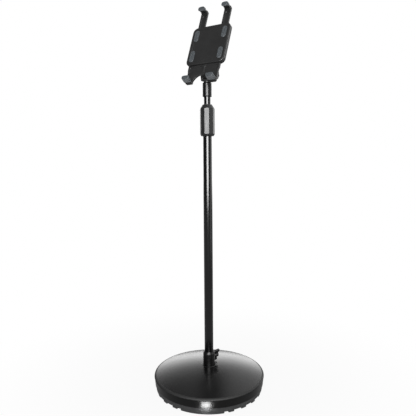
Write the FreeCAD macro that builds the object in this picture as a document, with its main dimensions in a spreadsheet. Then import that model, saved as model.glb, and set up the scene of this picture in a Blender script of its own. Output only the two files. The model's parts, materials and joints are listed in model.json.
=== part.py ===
import FreeCAD, Part
import math
import os

import Sketcher
from FreeCAD import Placement, Rotation, Vector

# A floor stand for a tablet: a weighted round base, a two-stage pole with a twist clutch,
# a tilting head and a four-foot holder whose upper jaw slides. Millimetres, +Z up, the
# origin on the floor under the middle of the base. The holder faces -Y.

doc = FreeCAD.newDocument("tablet_floor_stand")
sheet = doc.addObject("Spreadsheet::Sheet", "sizes")


# The driving sizes. Lengths and angles have a decimal point, counts have none.
# Fits and clearances, and how far a cut runs past a face or a pad into what it joins
running = 0.05
slack = 0.3
face_gap = 0.1
cut_past = 1.0
half_turn_ease = 0.001
pad_sunk = 0.5
hex_sides = 6

# Base: cover, tray and weight
base_radius = 134.0
cover_lip_height = 34.4
cover_rise = 22.2
cover_wall = 3.0
dome_radius = 471.0
rim_round = 3.26
rim_round_width = 2.35
rim_round_height = 3.16
rim_straight = 0.5
collar_ring_width = 2.6
collar_ring_height = 0.8
seam_gap = 1.0
seam_depth = 2.8
tray_inset = 0.5
tray_wall = 3.0
upper_band_taper = 1.7
band_step = 1.0
band_step_height = 16.0
lower_band_taper = 1.3
tray_bottom = 5.0
tray_floor = 3.0
skirt_chamfer = 1.0
foot_ring_width = 9.0
foot_ring_inset = 0.6
foot_pad_thickness = 1.2
foot_pad_inset = 1.2
foot_pad_side_inset = 1.2
foot_count = 3
rib_count = 24
foot_angle = 45.0
foot_heading = -67.2
rib_angle = 6.0
bolt_recess_radius = 20.0
bolt_recess_depth = 6.0
weight_inset = 34.0
weight_thickness = 18.0
weight_lift = 0.2
weight_chamfer = 1.5
cover_screw_count = 4
cover_screw_inset = 22.0
cover_boss_radius = 4.2
cover_boss_rise = 6.6
cover_screw_radius = 1.75
cover_screw_head_radius = 3.6
cover_screw_head_height = 2.4
cover_screw_reach = 14.0

# Pole socket and its clamping screw
tube_radius = 10.65
tube_wall = 1.2
socket_radius = 14.25
socket_standing = 34.4
socket_chamfer_height = 5.0
socket_chamfer_width = 2.0
socket_depth = 31.0
socket_flange_radius = 29.0
socket_flange_thickness = 5.0
base_bolt_radius = 5.0
base_bolt_reach = 22.0
base_bolt_head_radius = 9.2
base_bolt_head_height = 6.4
base_washer_radius = 12.0
base_washer_thickness = 1.5
wing_drop = 17.0
wing_heading = 72.0
wing_twist = -68.0
wing_stud_radius = 3.0
wing_hub_radius = 5.2
wing_hub_start = 17.2
wing_hub_length = 10.0
wing_hub_crown = 1.0
wing_root = 2.0
wing_root_inset = 1.0
wing_inner_round = 1.5
wing_outer_round = 3.0
wing_span = 15.8
wing_tip_width = 15.0
wing_tip_lead = 2.4
wing_thickness = 4.0
clamp_pad_thickness = 1.4
clamp_pad_gap = 0.15

# Pole: tubes and clutch
tube_length = 556.3
inner_tube_radius = 7.95
inner_tube_wall = 1.1
inner_tube_length = 526.1
guide_length = 6.0
guide_plug_length = 12.0
guide_chamfer = 1.0
clutch_overlap = 3.0
clutch_radius = 17.4
clutch_facets = 10
clutch_facet_heading = -47.7
clutch_body_height = 62.1
clutch_cone_height = 10.2
clutch_top_radius = 10.9
clutch_ring_height = 3.4
clutch_ring_chamfer = 1.9
clutch_ring_inset = 0.5
clutch_grip_edge = 0.6
grip_bore_step = 1.0
clutch_neck_wall = 2.4
clutch_neck_height = 24.0
collet_wall = 2.6
collet_flare = 1.3
collet_cone_height = 15.0
collet_cone_width = 2.6
collet_slot_width = 1.4
collet_solid_length = 10.0
collet_slots = 3

# Neck: sleeve, swivel post and fork
sleeve_radius = 10.75
pole_showing = 18.5
sleeve_length = 32.4
sleeve_round = 3.0
sleeve_edge = 0.6
sleeve_depth = 12.0
grub_radius = 2.5
grub_drop = 6.0
grub_socket_depth = 1.4
post_radius = 5.5
post_screw_radius = 2.5
post_screw_head_radius = 4.6
post_screw_head_height = 3.0
post_screw_reach = 13.0
post_screw_socket_depth = 2.0
swivel_washer_radius = 8.4
swivel_washer_thickness = 1.0
neck_radius = 6.6
neck_length = 2.3
fork_width = 24.0
fork_slot = 12.0
fork_foot_depth = 16.0
fork_eye_radius = 10.3
eye_clearance = 0.5
hinge_rise = 13.05
hinge_radius = 3.0
hinge_head_radius = 5.4
hinge_head_height = 3.2
hinge_head_edge = 1.0
hinge_head_crown = 2.0
hinge_socket_radius = 2.3
hinge_socket_depth = 1.8
knob_washer_radius = 6.5
knob_washer_thickness = 0.9
knob_radius = 11.5
knob_length = 14.0
knob_flare = 3.0
knob_round = 2.0
knob_scallop_radius = 3.2
knob_scallop_out = 1.44
knob_lobes = 7
knob_insert_radius = 4.6
knob_insert_length = 9.0

# Head: where the device's front plane stands, and the arm behind it
tilt_angle = 23.0
arm_reach = 68.0
arm_eye_offset = 9.7
arm_eye_radius = 9.4
friction_washer_thickness = 0.8
arm_thickness = 8.6
arm_hub_radius = 19.0
arm_waist = 20.0
arm_rib = 2.4
arm_recess_depth = 3.0
arm_hub_standing = 1.0
arm_shoulder_rise = 8.0
arm_blend_up = 2.0
arm_blend_down = 4.0
arm_top_half_width = 18.6
arm_top_drop = 3.8
recess_half_width = 12.5
recess_drop = 15.2
recess_radius = 19.8
recess_overlap = 1.0
hub_bolt_radius = 4.0
hub_head_radius = 9.0
hub_head_height = 2.6
hub_head_edge = 1.0
hub_bolt_standing = 0.6
hub_nut_radius = 7.4
hub_nut_height = 5.0
hub_nut_chamfer = 0.4
hub_washer_radius = 17.0
hub_washer_thickness = 2.2
hub_cap_radius = 14.0
hub_cap_height = 8.0
hub_cap_wall = 1.6
hub_cap_round = 3.0

# Holder body
device_height = 185.7
device_thickness = 9.4
body_width = 100.0
body_height = 104.0
body_corner = 12.0
pad_standing = 1.1
front_shell_depth = 5.1
rear_shell_depth = 6.4
body_wall = 2.5
body_round = 1.8
panel_margin = 9.0
panel_depth = 0.8
pad_width = 12.0
pad_height = 30.0
pad_thickness = 1.7
pad_across = 37.0
pad_up = 28.0
screw_across = 45.0
screw_up = 39.0
screw_radius = 1.3
screw_head_radius = 2.5
screw_head_height = 1.6
screw_boss_radius = 3.2
screw_cross_reach = 1.55
screw_cross_half = 0.33
rail_width = 1.2
rail_start = 8.0

# Jaws, feet and the jaw's lock
foot_pitch = 63.0
prong_width = 18.0
prong_thickness = 5.0
prong_groove_width = 8.0
prong_groove_depth = 1.0
prong_groove_margin = 6.0
prong_corner = 4.0
root_inset = 1.0
bridge_bottom = -8.0
bridge_height = 10.0
bridge_thickness = 2.9
web_width = 84.0
web_height = 18.0
web_shoulder = 6.0
web_bevel = 2.0
leg_bevel = 1.0
leg_corner = 4.0
arch_foot = 1.0
arch_inset = 14.3
web_panel_margin = 5.0
web_panel_centre = 3.0
web_panel_corner = 3.0
arch_width = 44.0
arch_top = -79.0
arch_radius = 26.0
tab_width = 40.0
tab_height = 6.0
tab_screw_across = 12.0
tab_screw_inset = 1.0
shelf_thickness = 7.0
tongue_width = 12.0
tongue_thickness = 3.0
lip_front = -5.0
lip_thickness = 3.4
lip_grip = 4.0
boot_depth = 15.0
boot_round = 1.4
upper_boot_width = 16.0
lower_boot_width = 20.0
lock_up = 36.0
lock_stud_radius = 2.5
lock_boss_radius = 6.5
lock_boss_height = 1.2
lock_knob_radius = 9.0
lock_knob_length = 9.0
lock_knob_flare = 2.0
lock_knob_round = 1.5
lock_knob_skin = 2.0
lock_scallop_radius = 2.8
lock_scallop_out = 1.4
lock_knob_lobes = 6
lock_shoe_thickness = 1.0

class Size:
    """A length or an angle: its value now, and the sheet formula that keeps it bound."""

    def __init__(self, value, formula):
        self.value = float(value)
        self.formula = formula

    def __add__(self, other):
        other = as_size(other)
        return Size(self.value + other.value, f"({self.formula} + {other.formula})")

    def __sub__(self, other):
        other = as_size(other)
        return Size(self.value - other.value, f"({self.formula} - {other.formula})")

    def __mul__(self, factor):
        return Size(self.value * factor, f"({self.formula} * {factor:.9f})")

    def __neg__(self):
        return Size(-self.value, f"(0 - {self.formula})")

    def __truediv__(self, factor):
        return Size(self.value / factor, f"({self.formula} / {factor})")


def as_size(number):
    """Let a plain number stand where a size is wanted."""
    if isinstance(number, Size):
        return number
    return Size(number, f"{float(number)}")


def named(alias, value, row):
    """Write one driving size into a row of the sheet and return it."""
    sheet.set(f"A{row}", alias)
    sheet.set(f"B{row}", f"{value}")
    sheet.setAlias(f"B{row}", alias)
    return Size(value, f"sizes.{alias}")


# Each number with a decimal point above becomes a cell of the sheet and a size bound to it
driving = [(name, number) for name, number in vars().items() if type(number) is float]
for row, (name, number) in enumerate(driving, start=1):
    vars()[name] = named(name, number, row)

NORMALS = {"XY_Plane": 1, "XZ_Plane": -1, "YZ_Plane": 1}
LEFT = 1
RIGHT = -1
SIDES = (1, -1)
CORNERS = ((-1, -1), (-1, 1), (1, -1), (1, 1))
pieces = []


def circle(x, y, radius):
    """A round loop."""
    return ("circle", as_size(x), as_size(y), as_size(radius))


def box(x_low, x_high, y_low, y_high):
    """A square-cornered loop."""
    return [(x_low, y_low), (x_high, y_low), (x_high, y_high), (x_low, y_high)]


def rounded(x_low, x_high, y_low, y_high, radius):
    """A loop with round corners."""
    return [
        (x_low + radius, y_low),
        (x_high - radius, y_low, radius, LEFT),
        (x_high, y_low + radius),
        (x_high, y_high - radius, radius, LEFT),
        (x_high - radius, y_high),
        (x_low + radius, y_high, radius, LEFT),
        (x_low, y_high - radius),
        (x_low, y_low + radius, radius, LEFT),
    ]


def polygon(sides, radius, first_angle):
    """A regular loop about the middle, by its corners."""
    corners = []
    for side in range(round(sides)):
        angle = math.radians(first_angle + 360 * side / round(sides))
        corners.append((radius * math.cos(angle), radius * math.sin(angle)))
    return corners


def arc_between(start, end, radius, turn):
    """The short arc from start to end that bends to the left or to the right."""
    middle = (start + end) * 0.5
    chord = end - start
    aside = Vector(-chord.y, chord.x, 0).normalize() * turn
    reach = math.sqrt(max(radius**2 - (chord.Length / 2) ** 2, 0))
    centre = middle + aside * reach
    first, last = (start, end) if turn == LEFT else (end, start)
    low = math.atan2(first.y - centre.y, first.x - centre.x)
    high = math.atan2(last.y - centre.y, last.x - centre.x)
    round_line = Part.Circle(centre, Vector(0, 0, 1), radius)
    return Part.ArcOfCircle(round_line, low, high)


class Piece:
    """One real piece: a body whose sketches and features are bound to the sheet."""

    def __init__(self, label, place=None, solids=1):
        self.body = doc.addObject("PartDesign::Body", label)
        self.body.Label = label
        self.body.AllowCompound = True
        self.place = place or Placement()
        self.solids = solids
        pieces.append(self)

    def datum(self, role):
        for feature in self.body.Origin.OriginFeatures:
            if feature.Role == role:
                return feature
        raise RuntimeError(f"no {role} in {self.body.Label}")

    def hold(self, sketch, kind, formula, *where):
        """Add one dimension and bind it, or pin the point to an axis where it is zero."""
        index = sketch.addConstraint(Sketcher.Constraint(kind, *where))
        sketch.setExpression(f"Constraints[{index}]", formula)

    def hold_point(self, sketch, item, end, x, y):
        self.hold(sketch, "DistanceX", x.formula, -1, 1, item, end, x.value)
        self.hold(sketch, "DistanceY", y.formula, -1, 1, item, end, y.value)

    def draw_circle(self, sketch, loop):
        _, x, y, radius = loop
        centre = Vector(x.value, y.value, 0)
        item = sketch.addGeometry(Part.Circle(centre, Vector(0, 0, 1), radius.value), False)
        self.hold(sketch, "Radius", radius.formula, item, radius.value)
        self.hold_point(sketch, item, 3, x, y)

    def draw_loop(self, sketch, loop):
        corners = [(as_size(c[0]), as_size(c[1]), *c[2:]) for c in loop]
        points = [Vector(c[0].value, c[1].value, 0) for c in corners]
        starts = []
        ends = []
        items = []
        for index, corner in enumerate(corners):
            start = points[index]
            end = points[(index + 1) % len(points)]
            forwards = True
            if len(corner) == 2:
                line = Part.LineSegment(start, end)
            else:
                line = arc_between(start, end, as_size(corner[2]).value, corner[3])
                forwards = corner[3] == LEFT
            items.append(sketch.addGeometry(line, False))
            starts.append(1 if forwards else 2)
            ends.append(2 if forwards else 1)
        for index, corner in enumerate(corners):
            after = (index + 1) % len(corners)
            join = (items[index], ends[index], items[after], starts[after])
            sketch.addConstraint(Sketcher.Constraint("Coincident", *join))
        for index, corner in enumerate(corners):
            self.hold_point(sketch, items[index], starts[index], corner[0], corner[1])
            if len(corner) > 2:
                radius = as_size(corner[2])
                self.hold(sketch, "Radius", radius.formula, items[index], radius.value)

    def sketch(self, name, role, offset, loops, spin=0):
        sketch = self.body.newObject("Sketcher::SketchObject", name)
        sketch.AttachmentSupport = (self.datum(role), [""])
        sketch.MapMode = "FlatFace"
        sketch.AttachmentOffset = Placement(Vector(0, 0, offset.value), Rotation(Vector(0, 1, 0), spin))
        sketch.setExpression("AttachmentOffset.Base.z", offset.formula)
        for loop in loops:
            if loop[0] == "circle":
                self.draw_circle(sketch, loop)
            else:
                self.draw_loop(sketch, loop)
        return sketch

    def volume(self):
        doc.recompute([self.body])
        return self.body.Shape.Volume

    def pad(self, name, role, low, high, *loops):
        """Fill the loops from low to high along the axis that the plane faces."""
        low = as_size(low)
        high = as_size(high)
        normal = NORMALS[role]
        sketch = self.sketch(name + "_sketch", role, low * normal, loops)
        pad = self.body.newObject("PartDesign::Pad", name)
        pad.Profile = sketch
        pad.Length = (high - low).value
        pad.setExpression("Length", (high - low).formula)
        pad.Reversed = normal < 0
        sketch.Visibility = False
        return pad

    def cut(self, name, role, low, high, *loops):
        """Cut the loops from low to high, and make sure that something went."""
        low = as_size(low)
        high = as_size(high)
        before = self.volume()
        normal = NORMALS[role]
        offset = high if normal > 0 else -low
        sketch = self.sketch(name + "_sketch", role, offset, loops)
        pocket = self.body.newObject("PartDesign::Pocket", name)
        pocket.Profile = sketch
        pocket.Length = (high - low).value
        pocket.setExpression("Length", (high - low).formula)
        sketch.Visibility = False
        self.check_smaller(before, name)
        return pocket

    def check_smaller(self, before, name):
        if not self.volume() < before - 1e-3:
            raise RuntimeError(f"{name} cuts nothing from {self.body.Label}")

    def turn(self, name, *loops, angle=None, spin=0):
        """Turn the loops, drawn as radius and height, about the piece's own Z axis."""
        sketch = self.sketch(name + "_sketch", "XZ_Plane", as_size(0), loops, spin)
        turned = self.body.newObject("PartDesign::Revolution", name)
        turned.Profile = sketch
        turned.ReferenceAxis = (sketch, ["V_Axis"])
        turned.Angle = 360
        if angle is not None:
            turned.Angle = angle.value
            turned.setExpression("Angle", angle.formula)
        sketch.Visibility = False
        return turned

    def around(self, name, features, count):
        """Repeat features evenly about the Z axis."""
        pattern = self.body.newObject("PartDesign::PolarPattern", name)
        pattern.Originals = features
        pattern.Axis = (self.datum("Z_Axis"), [""])
        pattern.Angle = 360
        pattern.Occurrences = count
        self.body.Tip = pattern
        return pattern

    def mirror(self, name, features, role):
        """Repeat features on the other side of one of the piece's planes."""
        mirrored = self.body.newObject("PartDesign::Mirrored", name)
        mirrored.Originals = features
        mirrored.MirrorPlane = (self.datum(role), [""])
        self.body.Tip = mirrored
        return mirrored

    def soften(self, kind, name, size, choose):
        """Round or bevel the edges of the last feature that the test picks."""
        doc.recompute([self.body])
        last = self.body.Tip
        picked = []
        for index, edge in enumerate(last.Shape.Edges, start=1):
            if choose(edge):
                picked.append(f"Edge{index}")
        if not picked:
            raise RuntimeError(f"{name} finds no edges in {self.body.Label}")
        feature = self.body.newObject(f"PartDesign::{kind}", name)
        feature.Base = (last, picked)
        sized = "Radius" if kind == "Fillet" else "Size"
        setattr(feature, sized, size.value)
        feature.setExpression(sized, size.formula)
        return feature

    def fillet(self, name, size, choose):
        return self.soften("Fillet", name, size, choose)

    def chamfer(self, name, size, choose):
        return self.soften("Chamfer", name, size, choose)


def span(edge, axis):
    """The reach of an edge along one axis."""
    bounds = edge.BoundBox
    return getattr(bounds, axis + "Min"), getattr(bounds, axis + "Max")


def lies_at(axis, *levels):
    """Picks edges that lie flat at one of the levels of an axis."""

    def choose(edge):
        low, high = span(edge, axis)
        return any(abs(low - x.value) < 0.01 and abs(high - x.value) < 0.01 for x in levels)

    return choose


def both(*tests):
    """Picks edges that pass every test."""
    return lambda edge: all(test(edge) for test in tests)


# Levels and radii that follow from the driving sizes
weight_radius = base_radius - weight_inset
cover_screw_circle = base_radius - cover_screw_inset
cover_top_height = cover_lip_height + cover_rise
cover_inner_top = cover_top_height - cover_wall
socket_top = cover_top_height + socket_standing
socket_seat = socket_top - socket_depth
wing_height = socket_top - wing_drop
tube_top = socket_seat + face_gap + tube_length
clutch_bottom = tube_top - clutch_overlap
clutch_body_top = clutch_bottom + clutch_body_height
clutch_top = clutch_body_top + clutch_cone_height
sleeve_bottom = clutch_top + pole_showing
sleeve_top = sleeve_bottom + sleeve_length
sleeve_seat = sleeve_bottom + sleeve_depth
inner_tube_bottom = sleeve_seat - face_gap - inner_tube_length
socket_hole = socket_radius + slack
tray_top = cover_lip_height - seam_gap
tray_radius = base_radius - tray_inset
skirt_radius = tray_radius - upper_band_taper - band_step - lower_band_taper
foot_outer = skirt_radius - skirt_chamfer - foot_ring_inset
floor_top = tray_bottom + tray_floor
weight_bottom = floor_top + weight_lift
weight_top = weight_bottom + weight_thickness
flange_bottom = weight_top + weight_lift
recess_under = tray_bottom + bolt_recess_depth
recess_over = recess_under + tray_floor
clutch_ring_top = clutch_bottom + clutch_ring_height
clutch_neck_radius = tube_radius + clutch_neck_wall + slack
clutch_neck_top = clutch_ring_top + clutch_neck_height
collet_cone_low = clutch_neck_top + slack + collet_flare * 2
collet_cone_high = collet_cone_low + collet_cone_height
inner_bore = inner_tube_radius + running
guide_bottom = inner_tube_bottom - guide_length
washer_top = sleeve_top + running + swivel_washer_thickness
fork_bottom = washer_top + neck_length
hinge_height = fork_bottom + hinge_rise
half_fork = fork_width / 2
half_slot = fork_slot / 2
knob_start = half_fork + face_gap + knob_washer_thickness + face_gap
half_pitch = foot_pitch / 2
device_top = device_height / 2
device_bottom = -device_top
body_front = device_thickness + pad_standing
body_split = body_front + front_shell_depth
body_rear = body_split + rear_shell_depth
prong_front = body_front + body_wall + slack
arm_front = body_rear + face_gap + hub_washer_thickness + face_gap
body_side = body_width / 2
body_top = body_height / 2
body_bottom = -body_top
prong_rear = prong_front + prong_thickness
prong_inner = half_pitch - prong_width / 2
prong_outer = half_pitch + prong_width / 2
hook_seat = device_top + face_gap
hook_top = hook_seat + shelf_thickness
shelf_seat = device_bottom - face_gap
shelf_bottom = shelf_seat - shelf_thickness
boot_rear = lip_front + boot_depth
hub_nut_start = arm_front + arm_thickness + face_gap

# The head's own frame starts in the middle of the device's front plane: X to the side, Y to
# the rear, Z up along the device. The arm's eye lies behind it and below it.
sine = math.sin(math.radians(tilt_angle.value))
cosine = math.cos(math.radians(tilt_angle.value))
eye_behind = arm_front + arm_eye_offset
eye_up = -arm_reach
face_setback = arm_reach * sine - eye_behind * cosine
face_height = hinge_height + eye_behind * sine + arm_reach * cosine

head_place = Placement(
    Vector(0, face_setback.value, face_height.value), Rotation(Vector(1, 0, 0), -tilt_angle.value)
)
to_rear = Rotation(Vector(1, 0, 0), -90)
to_right = Rotation(Vector(0, 1, 0), 90)


def on_head(across=0, up=0):
    """A place for a turned piece whose axis points to the rear of the head."""
    return head_place * Placement(Vector(as_size(across).value, 0, as_size(up).value), to_rear)


def on_hinge():
    """The tilt axis, for a turned piece whose axis points to the right."""
    return Placement(Vector(0, 0, hinge_height.value), to_right)


def on_wing(twist=0):
    """The clamping screw's axis, which points out from the socket."""
    heading = Rotation(Vector(0, 0, 1), wing_heading.value)
    return Placement(Vector(0, 0, wing_height.value), heading * to_right * Rotation(Vector(0, 0, 1), twist))


def disc(label, place, inner, outer, low, high):
    """A washer or a plain ring."""
    piece = Piece(label, place)
    piece.turn("ring", box(inner, outer, low, high))
    return piece


def base_turned():
    """The base's heading, which the feet and the cover's screws share."""
    return Placement(Vector(), Rotation(Vector(0, 0, 1), foot_heading.value))


def base_cover():
    cover = Piece("base_cover", base_turned())
    ring_top = cover_top_height + collar_ring_height
    ring_edge = socket_hole + collar_ring_width
    rim_start = base_radius - rim_round_width
    rim_low = cover_lip_height + rim_straight
    cover.turn(
        "shell",
        [
            (socket_hole, cover_inner_top),
            (socket_hole, ring_top),
            (ring_edge, ring_top),
            (ring_edge + collar_ring_height, cover_top_height, dome_radius, RIGHT),
            (rim_start, rim_low + rim_round_height, rim_round, RIGHT),
            (base_radius, rim_low),
            (base_radius, cover_lip_height),
            (base_radius - cover_wall, cover_lip_height, dome_radius, LEFT),
        ],
    )
    boss = cover.pad(
        "boss",
        "XY_Plane",
        floor_top + face_gap,
        cover_lip_height + cover_boss_rise,
        circle(cover_screw_circle, 0, cover_boss_radius),
    )
    cover.around("bosses", [boss], cover_screw_count)
    pilot = cover.cut(
        "pilot",
        "XY_Plane",
        floor_top,
        tray_bottom + cover_screw_reach + slack,
        circle(cover_screw_circle, 0, cover_screw_radius + running),
    )
    cover.around("pilots", [pilot], cover_screw_count)
    cover.fillet("ring_edge", collar_ring_height / 2, lies_at("Z", ring_top))


def base_tray():
    tray = Piece("base_tray", base_turned())
    step_radius = tray_radius - upper_band_taper
    band_radius = step_radius - band_step
    land = tray_radius - seam_depth
    tray.turn(
        "wall",
        [
            (base_bolt_radius + slack, recess_under),
            (bolt_recess_radius, recess_under),
            (bolt_recess_radius, tray_bottom),
            (skirt_radius - skirt_chamfer, tray_bottom),
            (skirt_radius, tray_bottom + skirt_chamfer),
            (band_radius, band_step_height),
            (step_radius, band_step_height + band_step / 2),
            (tray_radius, tray_top),
            (land, tray_top),
            (land, cover_lip_height),
            (land - tray_wall, cover_lip_height),
            (skirt_radius - tray_wall, floor_top),
            (bolt_recess_radius + tray_floor, floor_top),
            (bolt_recess_radius + tray_floor, recess_over),
            (base_bolt_radius + slack, recess_over),
        ],
    )
    foot_section = box(
        foot_outer - foot_ring_width, foot_outer, foot_pad_thickness, tray_bottom + tray_floor / 3
    )
    half_foot = foot_angle / 2
    foot = tray.turn("foot", foot_section, angle=foot_angle, spin=-half_foot.value)
    tray.around("feet", [foot], foot_count)
    rib = tray.turn("rib", foot_section, angle=rib_angle, spin=-rib_angle.value / 2)
    tray.around("ribs", [rib], rib_count)
    hole = tray.cut(
        "screw_hole",
        "XY_Plane",
        tray_bottom - cut_past,
        floor_top + cut_past,
        circle(cover_screw_circle, 0, cover_screw_radius + slack),
    )
    tray.around("screw_holes", [hole], cover_screw_count)


def foot_pads():
    pads = Piece("foot_pads", base_turned(), foot_count)
    outer = foot_outer - foot_pad_inset
    inner = outer - foot_ring_width + foot_pad_inset * 2
    angle = foot_angle - foot_pad_side_inset
    pad = pads.turn(
        "pad", box(inner, outer, 0, foot_pad_thickness), angle=angle, spin=-angle.value / 2
    )
    pads.around("pads", [pad], foot_count)


def cover_screws():
    screws = Piece("cover_screws", base_turned(), cover_screw_count)
    head = screws.pad(
        "head",
        "XY_Plane",
        tray_bottom - cover_screw_head_height,
        tray_bottom,
        circle(cover_screw_circle, 0, cover_screw_head_radius),
    )
    shank = screws.pad(
        "shank",
        "XY_Plane",
        tray_bottom,
        tray_bottom + cover_screw_reach,
        circle(cover_screw_circle, 0, cover_screw_radius),
    )
    screws.around("screws", [head, shank], cover_screw_count)


def ballast():
    weight = Piece("ballast")
    weight.turn(
        "disc",
        [
            (base_bolt_radius + slack, recess_over + weight_lift),
            (bolt_recess_radius + tray_floor + slack, recess_over + weight_lift),
            (bolt_recess_radius + tray_floor + slack, weight_bottom),
            (weight_radius, weight_bottom),
            (weight_radius, weight_top),
            (base_bolt_radius + slack, weight_top),
        ],
    )
    weight.chamfer("edge", weight_chamfer, lies_at("Z", weight_top))


def pole_socket():
    socket = Piece("pole_socket", Placement(Vector(), Rotation(Vector(0, 0, 1), wing_heading.value)))
    bore = tube_radius + running
    socket.turn(
        "socket",
        [
            (base_bolt_radius + running, flange_bottom),
            (socket_flange_radius, flange_bottom),
            (socket_flange_radius, flange_bottom + socket_flange_thickness),
            (socket_radius, flange_bottom + socket_flange_thickness),
            (socket_radius, socket_top - socket_chamfer_height),
            (socket_radius - socket_chamfer_width, socket_top),
            (bore, socket_top),
            (bore, socket_seat),
            (base_bolt_radius + running, socket_seat),
        ],
    )
    socket.cut(
        "screw_hole",
        "YZ_Plane",
        0,
        socket_radius + cut_past,
        circle(0, wing_height, wing_stud_radius + running),
    )


def socket_bolt():
    bolt = Piece("socket_bolt")
    seat = recess_under - base_washer_thickness
    bolt.pad(
        "head", "XY_Plane", seat - base_bolt_head_height, seat, polygon(hex_sides, base_bolt_head_radius, 0)
    )
    bolt.pad("shank", "XY_Plane", seat, flange_bottom + base_bolt_reach, circle(0, 0, base_bolt_radius))
    bolt.chamfer("tip", base_bolt_radius / 6, lies_at("Z", flange_bottom + base_bolt_reach))


def clamp_pad():
    start = tube_radius + clamp_pad_gap
    disc("clamp_pad", on_wing(), 0, wing_stud_radius, start, start + clamp_pad_thickness)


def wing_stud():
    stud = Piece("wing_stud", on_wing())
    start = tube_radius + clamp_pad_gap + clamp_pad_thickness
    stud.pad(
        "stud", "XY_Plane", start, wing_hub_start + wing_hub_length - face_gap, circle(0, 0, wing_stud_radius)
    )


def wing_screw():
    screw = Piece("wing_screw", on_wing(wing_twist.value))
    end = wing_hub_start + wing_hub_length
    screw.turn(
        "hub",
        [
            (wing_stud_radius, wing_hub_start),
            (wing_hub_radius, wing_hub_start),
            (wing_hub_radius, end - face_gap),
            (wing_hub_radius - wing_hub_crown, end + wing_hub_crown),
            (0, end + wing_hub_crown),
            (0, end - face_gap),
            (wing_stud_radius, end - face_gap),
        ],
    )
    wing_inside = wing_stud_radius + running
    tip_low = wing_hub_start - wing_tip_lead
    tip_high = tip_low + wing_tip_width
    half_thickness = wing_thickness / 2
    wing = screw.pad(
        "wing",
        "YZ_Plane",
        -half_thickness,
        half_thickness,
        [
            (wing_inside, wing_hub_start + wing_root_inset),
            (wing_hub_radius + wing_root, wing_hub_start + wing_root_inset, wing_span, RIGHT),
            (wing_span - wing_inner_round, tip_low, wing_inner_round, LEFT),
            (wing_span, tip_low + wing_inner_round),
            (wing_span, tip_high - wing_outer_round, wing_outer_round, LEFT),
            (wing_span - wing_outer_round, tip_high, wing_span, RIGHT),
            (wing_hub_radius, end - wing_root_inset),
            (wing_inside, end - wing_root_inset),
        ],
    )
    screw.mirror("other_wing", [wing], "XZ_Plane")


def lower_tube():
    disc(
        "lower_tube", None, tube_radius - tube_wall, tube_radius, socket_seat + face_gap, tube_top
    )


def clutch_base():
    ring = Piece("clutch_base")
    bore = tube_radius + running
    ring_radius = clutch_radius - clutch_ring_inset
    ring.turn(
        "ring",
        [
            (bore, clutch_bottom),
            (ring_radius - clutch_ring_chamfer, clutch_bottom),
            (ring_radius, clutch_ring_top),
            (clutch_neck_radius, clutch_ring_top),
            (clutch_neck_radius, clutch_neck_top),
            (bore, clutch_neck_top),
        ],
    )


def clutch_collet():
    collet = Piece("clutch_collet")
    outer = inner_bore + collet_wall
    flare = outer + collet_flare
    low = tube_top + face_gap
    collet.turn(
        "collet",
        [
            (inner_bore, low),
            (outer, low),
            (outer, clutch_neck_top + slack),
            (flare, collet_cone_low),
            (flare - collet_cone_width, collet_cone_high),
            (inner_bore, collet_cone_high),
        ],
    )
    half_slot_width = collet_slot_width / 2
    slot = collet.cut(
        "slot",
        "XY_Plane",
        low + collet_solid_length,
        collet_cone_high + cut_past,
        box(0, flare + cut_past, -half_slot_width, half_slot_width),
    )
    collet.around("slots", [slot], collet_slots)


def clutch_grip():
    grip = Piece("clutch_grip")
    low = clutch_ring_top + slack
    neck_bore = clutch_neck_radius + slack
    outer = inner_bore + collet_wall + collet_flare + slack * 2
    top_bore = inner_bore + slack
    grip.turn(
        "grip",
        [
            (neck_bore, low),
            (clutch_radius - clutch_grip_edge, low),
            (clutch_radius, low + clutch_grip_edge),
            (clutch_radius, clutch_body_top),
            (clutch_top_radius, clutch_top),
            (top_bore, clutch_top),
            (top_bore, collet_cone_high + grip_bore_step),
            (outer - collet_cone_width, collet_cone_high),
            (outer, collet_cone_low),
            (outer, clutch_neck_top + grip_bore_step),
            (neck_bore, clutch_neck_top + grip_bore_step),
        ],
    )
    grip.cut(
        "facets",
        "XY_Plane",
        low - cut_past,
        clutch_top + cut_past,
        circle(0, 0, clutch_radius + cut_past),
        polygon(clutch_facets, clutch_radius, clutch_facet_heading.value),
    )


def upper_tube():
    disc(
        "upper_tube",
        None,
        inner_tube_radius - inner_tube_wall,
        inner_tube_radius,
        inner_tube_bottom,
        sleeve_seat - face_gap,
    )


def tube_guide():
    guide = Piece("tube_guide")
    outer = tube_radius - tube_wall - running
    plug = inner_tube_radius - inner_tube_wall - running
    guide.turn(
        "guide",
        [
            (0, guide_bottom),
            (outer - guide_chamfer, guide_bottom),
            (outer, guide_bottom + guide_chamfer),
            (outer, inner_tube_bottom - running),
            (plug, inner_tube_bottom - running),
            (plug, inner_tube_bottom + guide_plug_length),
            (0, inner_tube_bottom + guide_plug_length),
        ],
    )


def neck_sleeve():
    sleeve = Piece("neck_sleeve")
    post_bore = post_radius + running
    sleeve.turn(
        "sleeve",
        [
            (inner_bore, sleeve_bottom),
            (sleeve_radius - sleeve_edge, sleeve_bottom),
            (sleeve_radius, sleeve_bottom + sleeve_edge),
            (sleeve_radius, sleeve_top - sleeve_round, sleeve_round, LEFT),
            (sleeve_radius - sleeve_round, sleeve_top),
            (post_bore, sleeve_top),
            (post_bore, sleeve_seat),
            (inner_bore, sleeve_seat),
        ],
    )
    grub_height = sleeve_seat - grub_drop
    sleeve.cut(
        "grub_hole", "XZ_Plane", 0, sleeve_radius + cut_past, circle(0, grub_height, grub_radius + running)
    )


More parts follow.
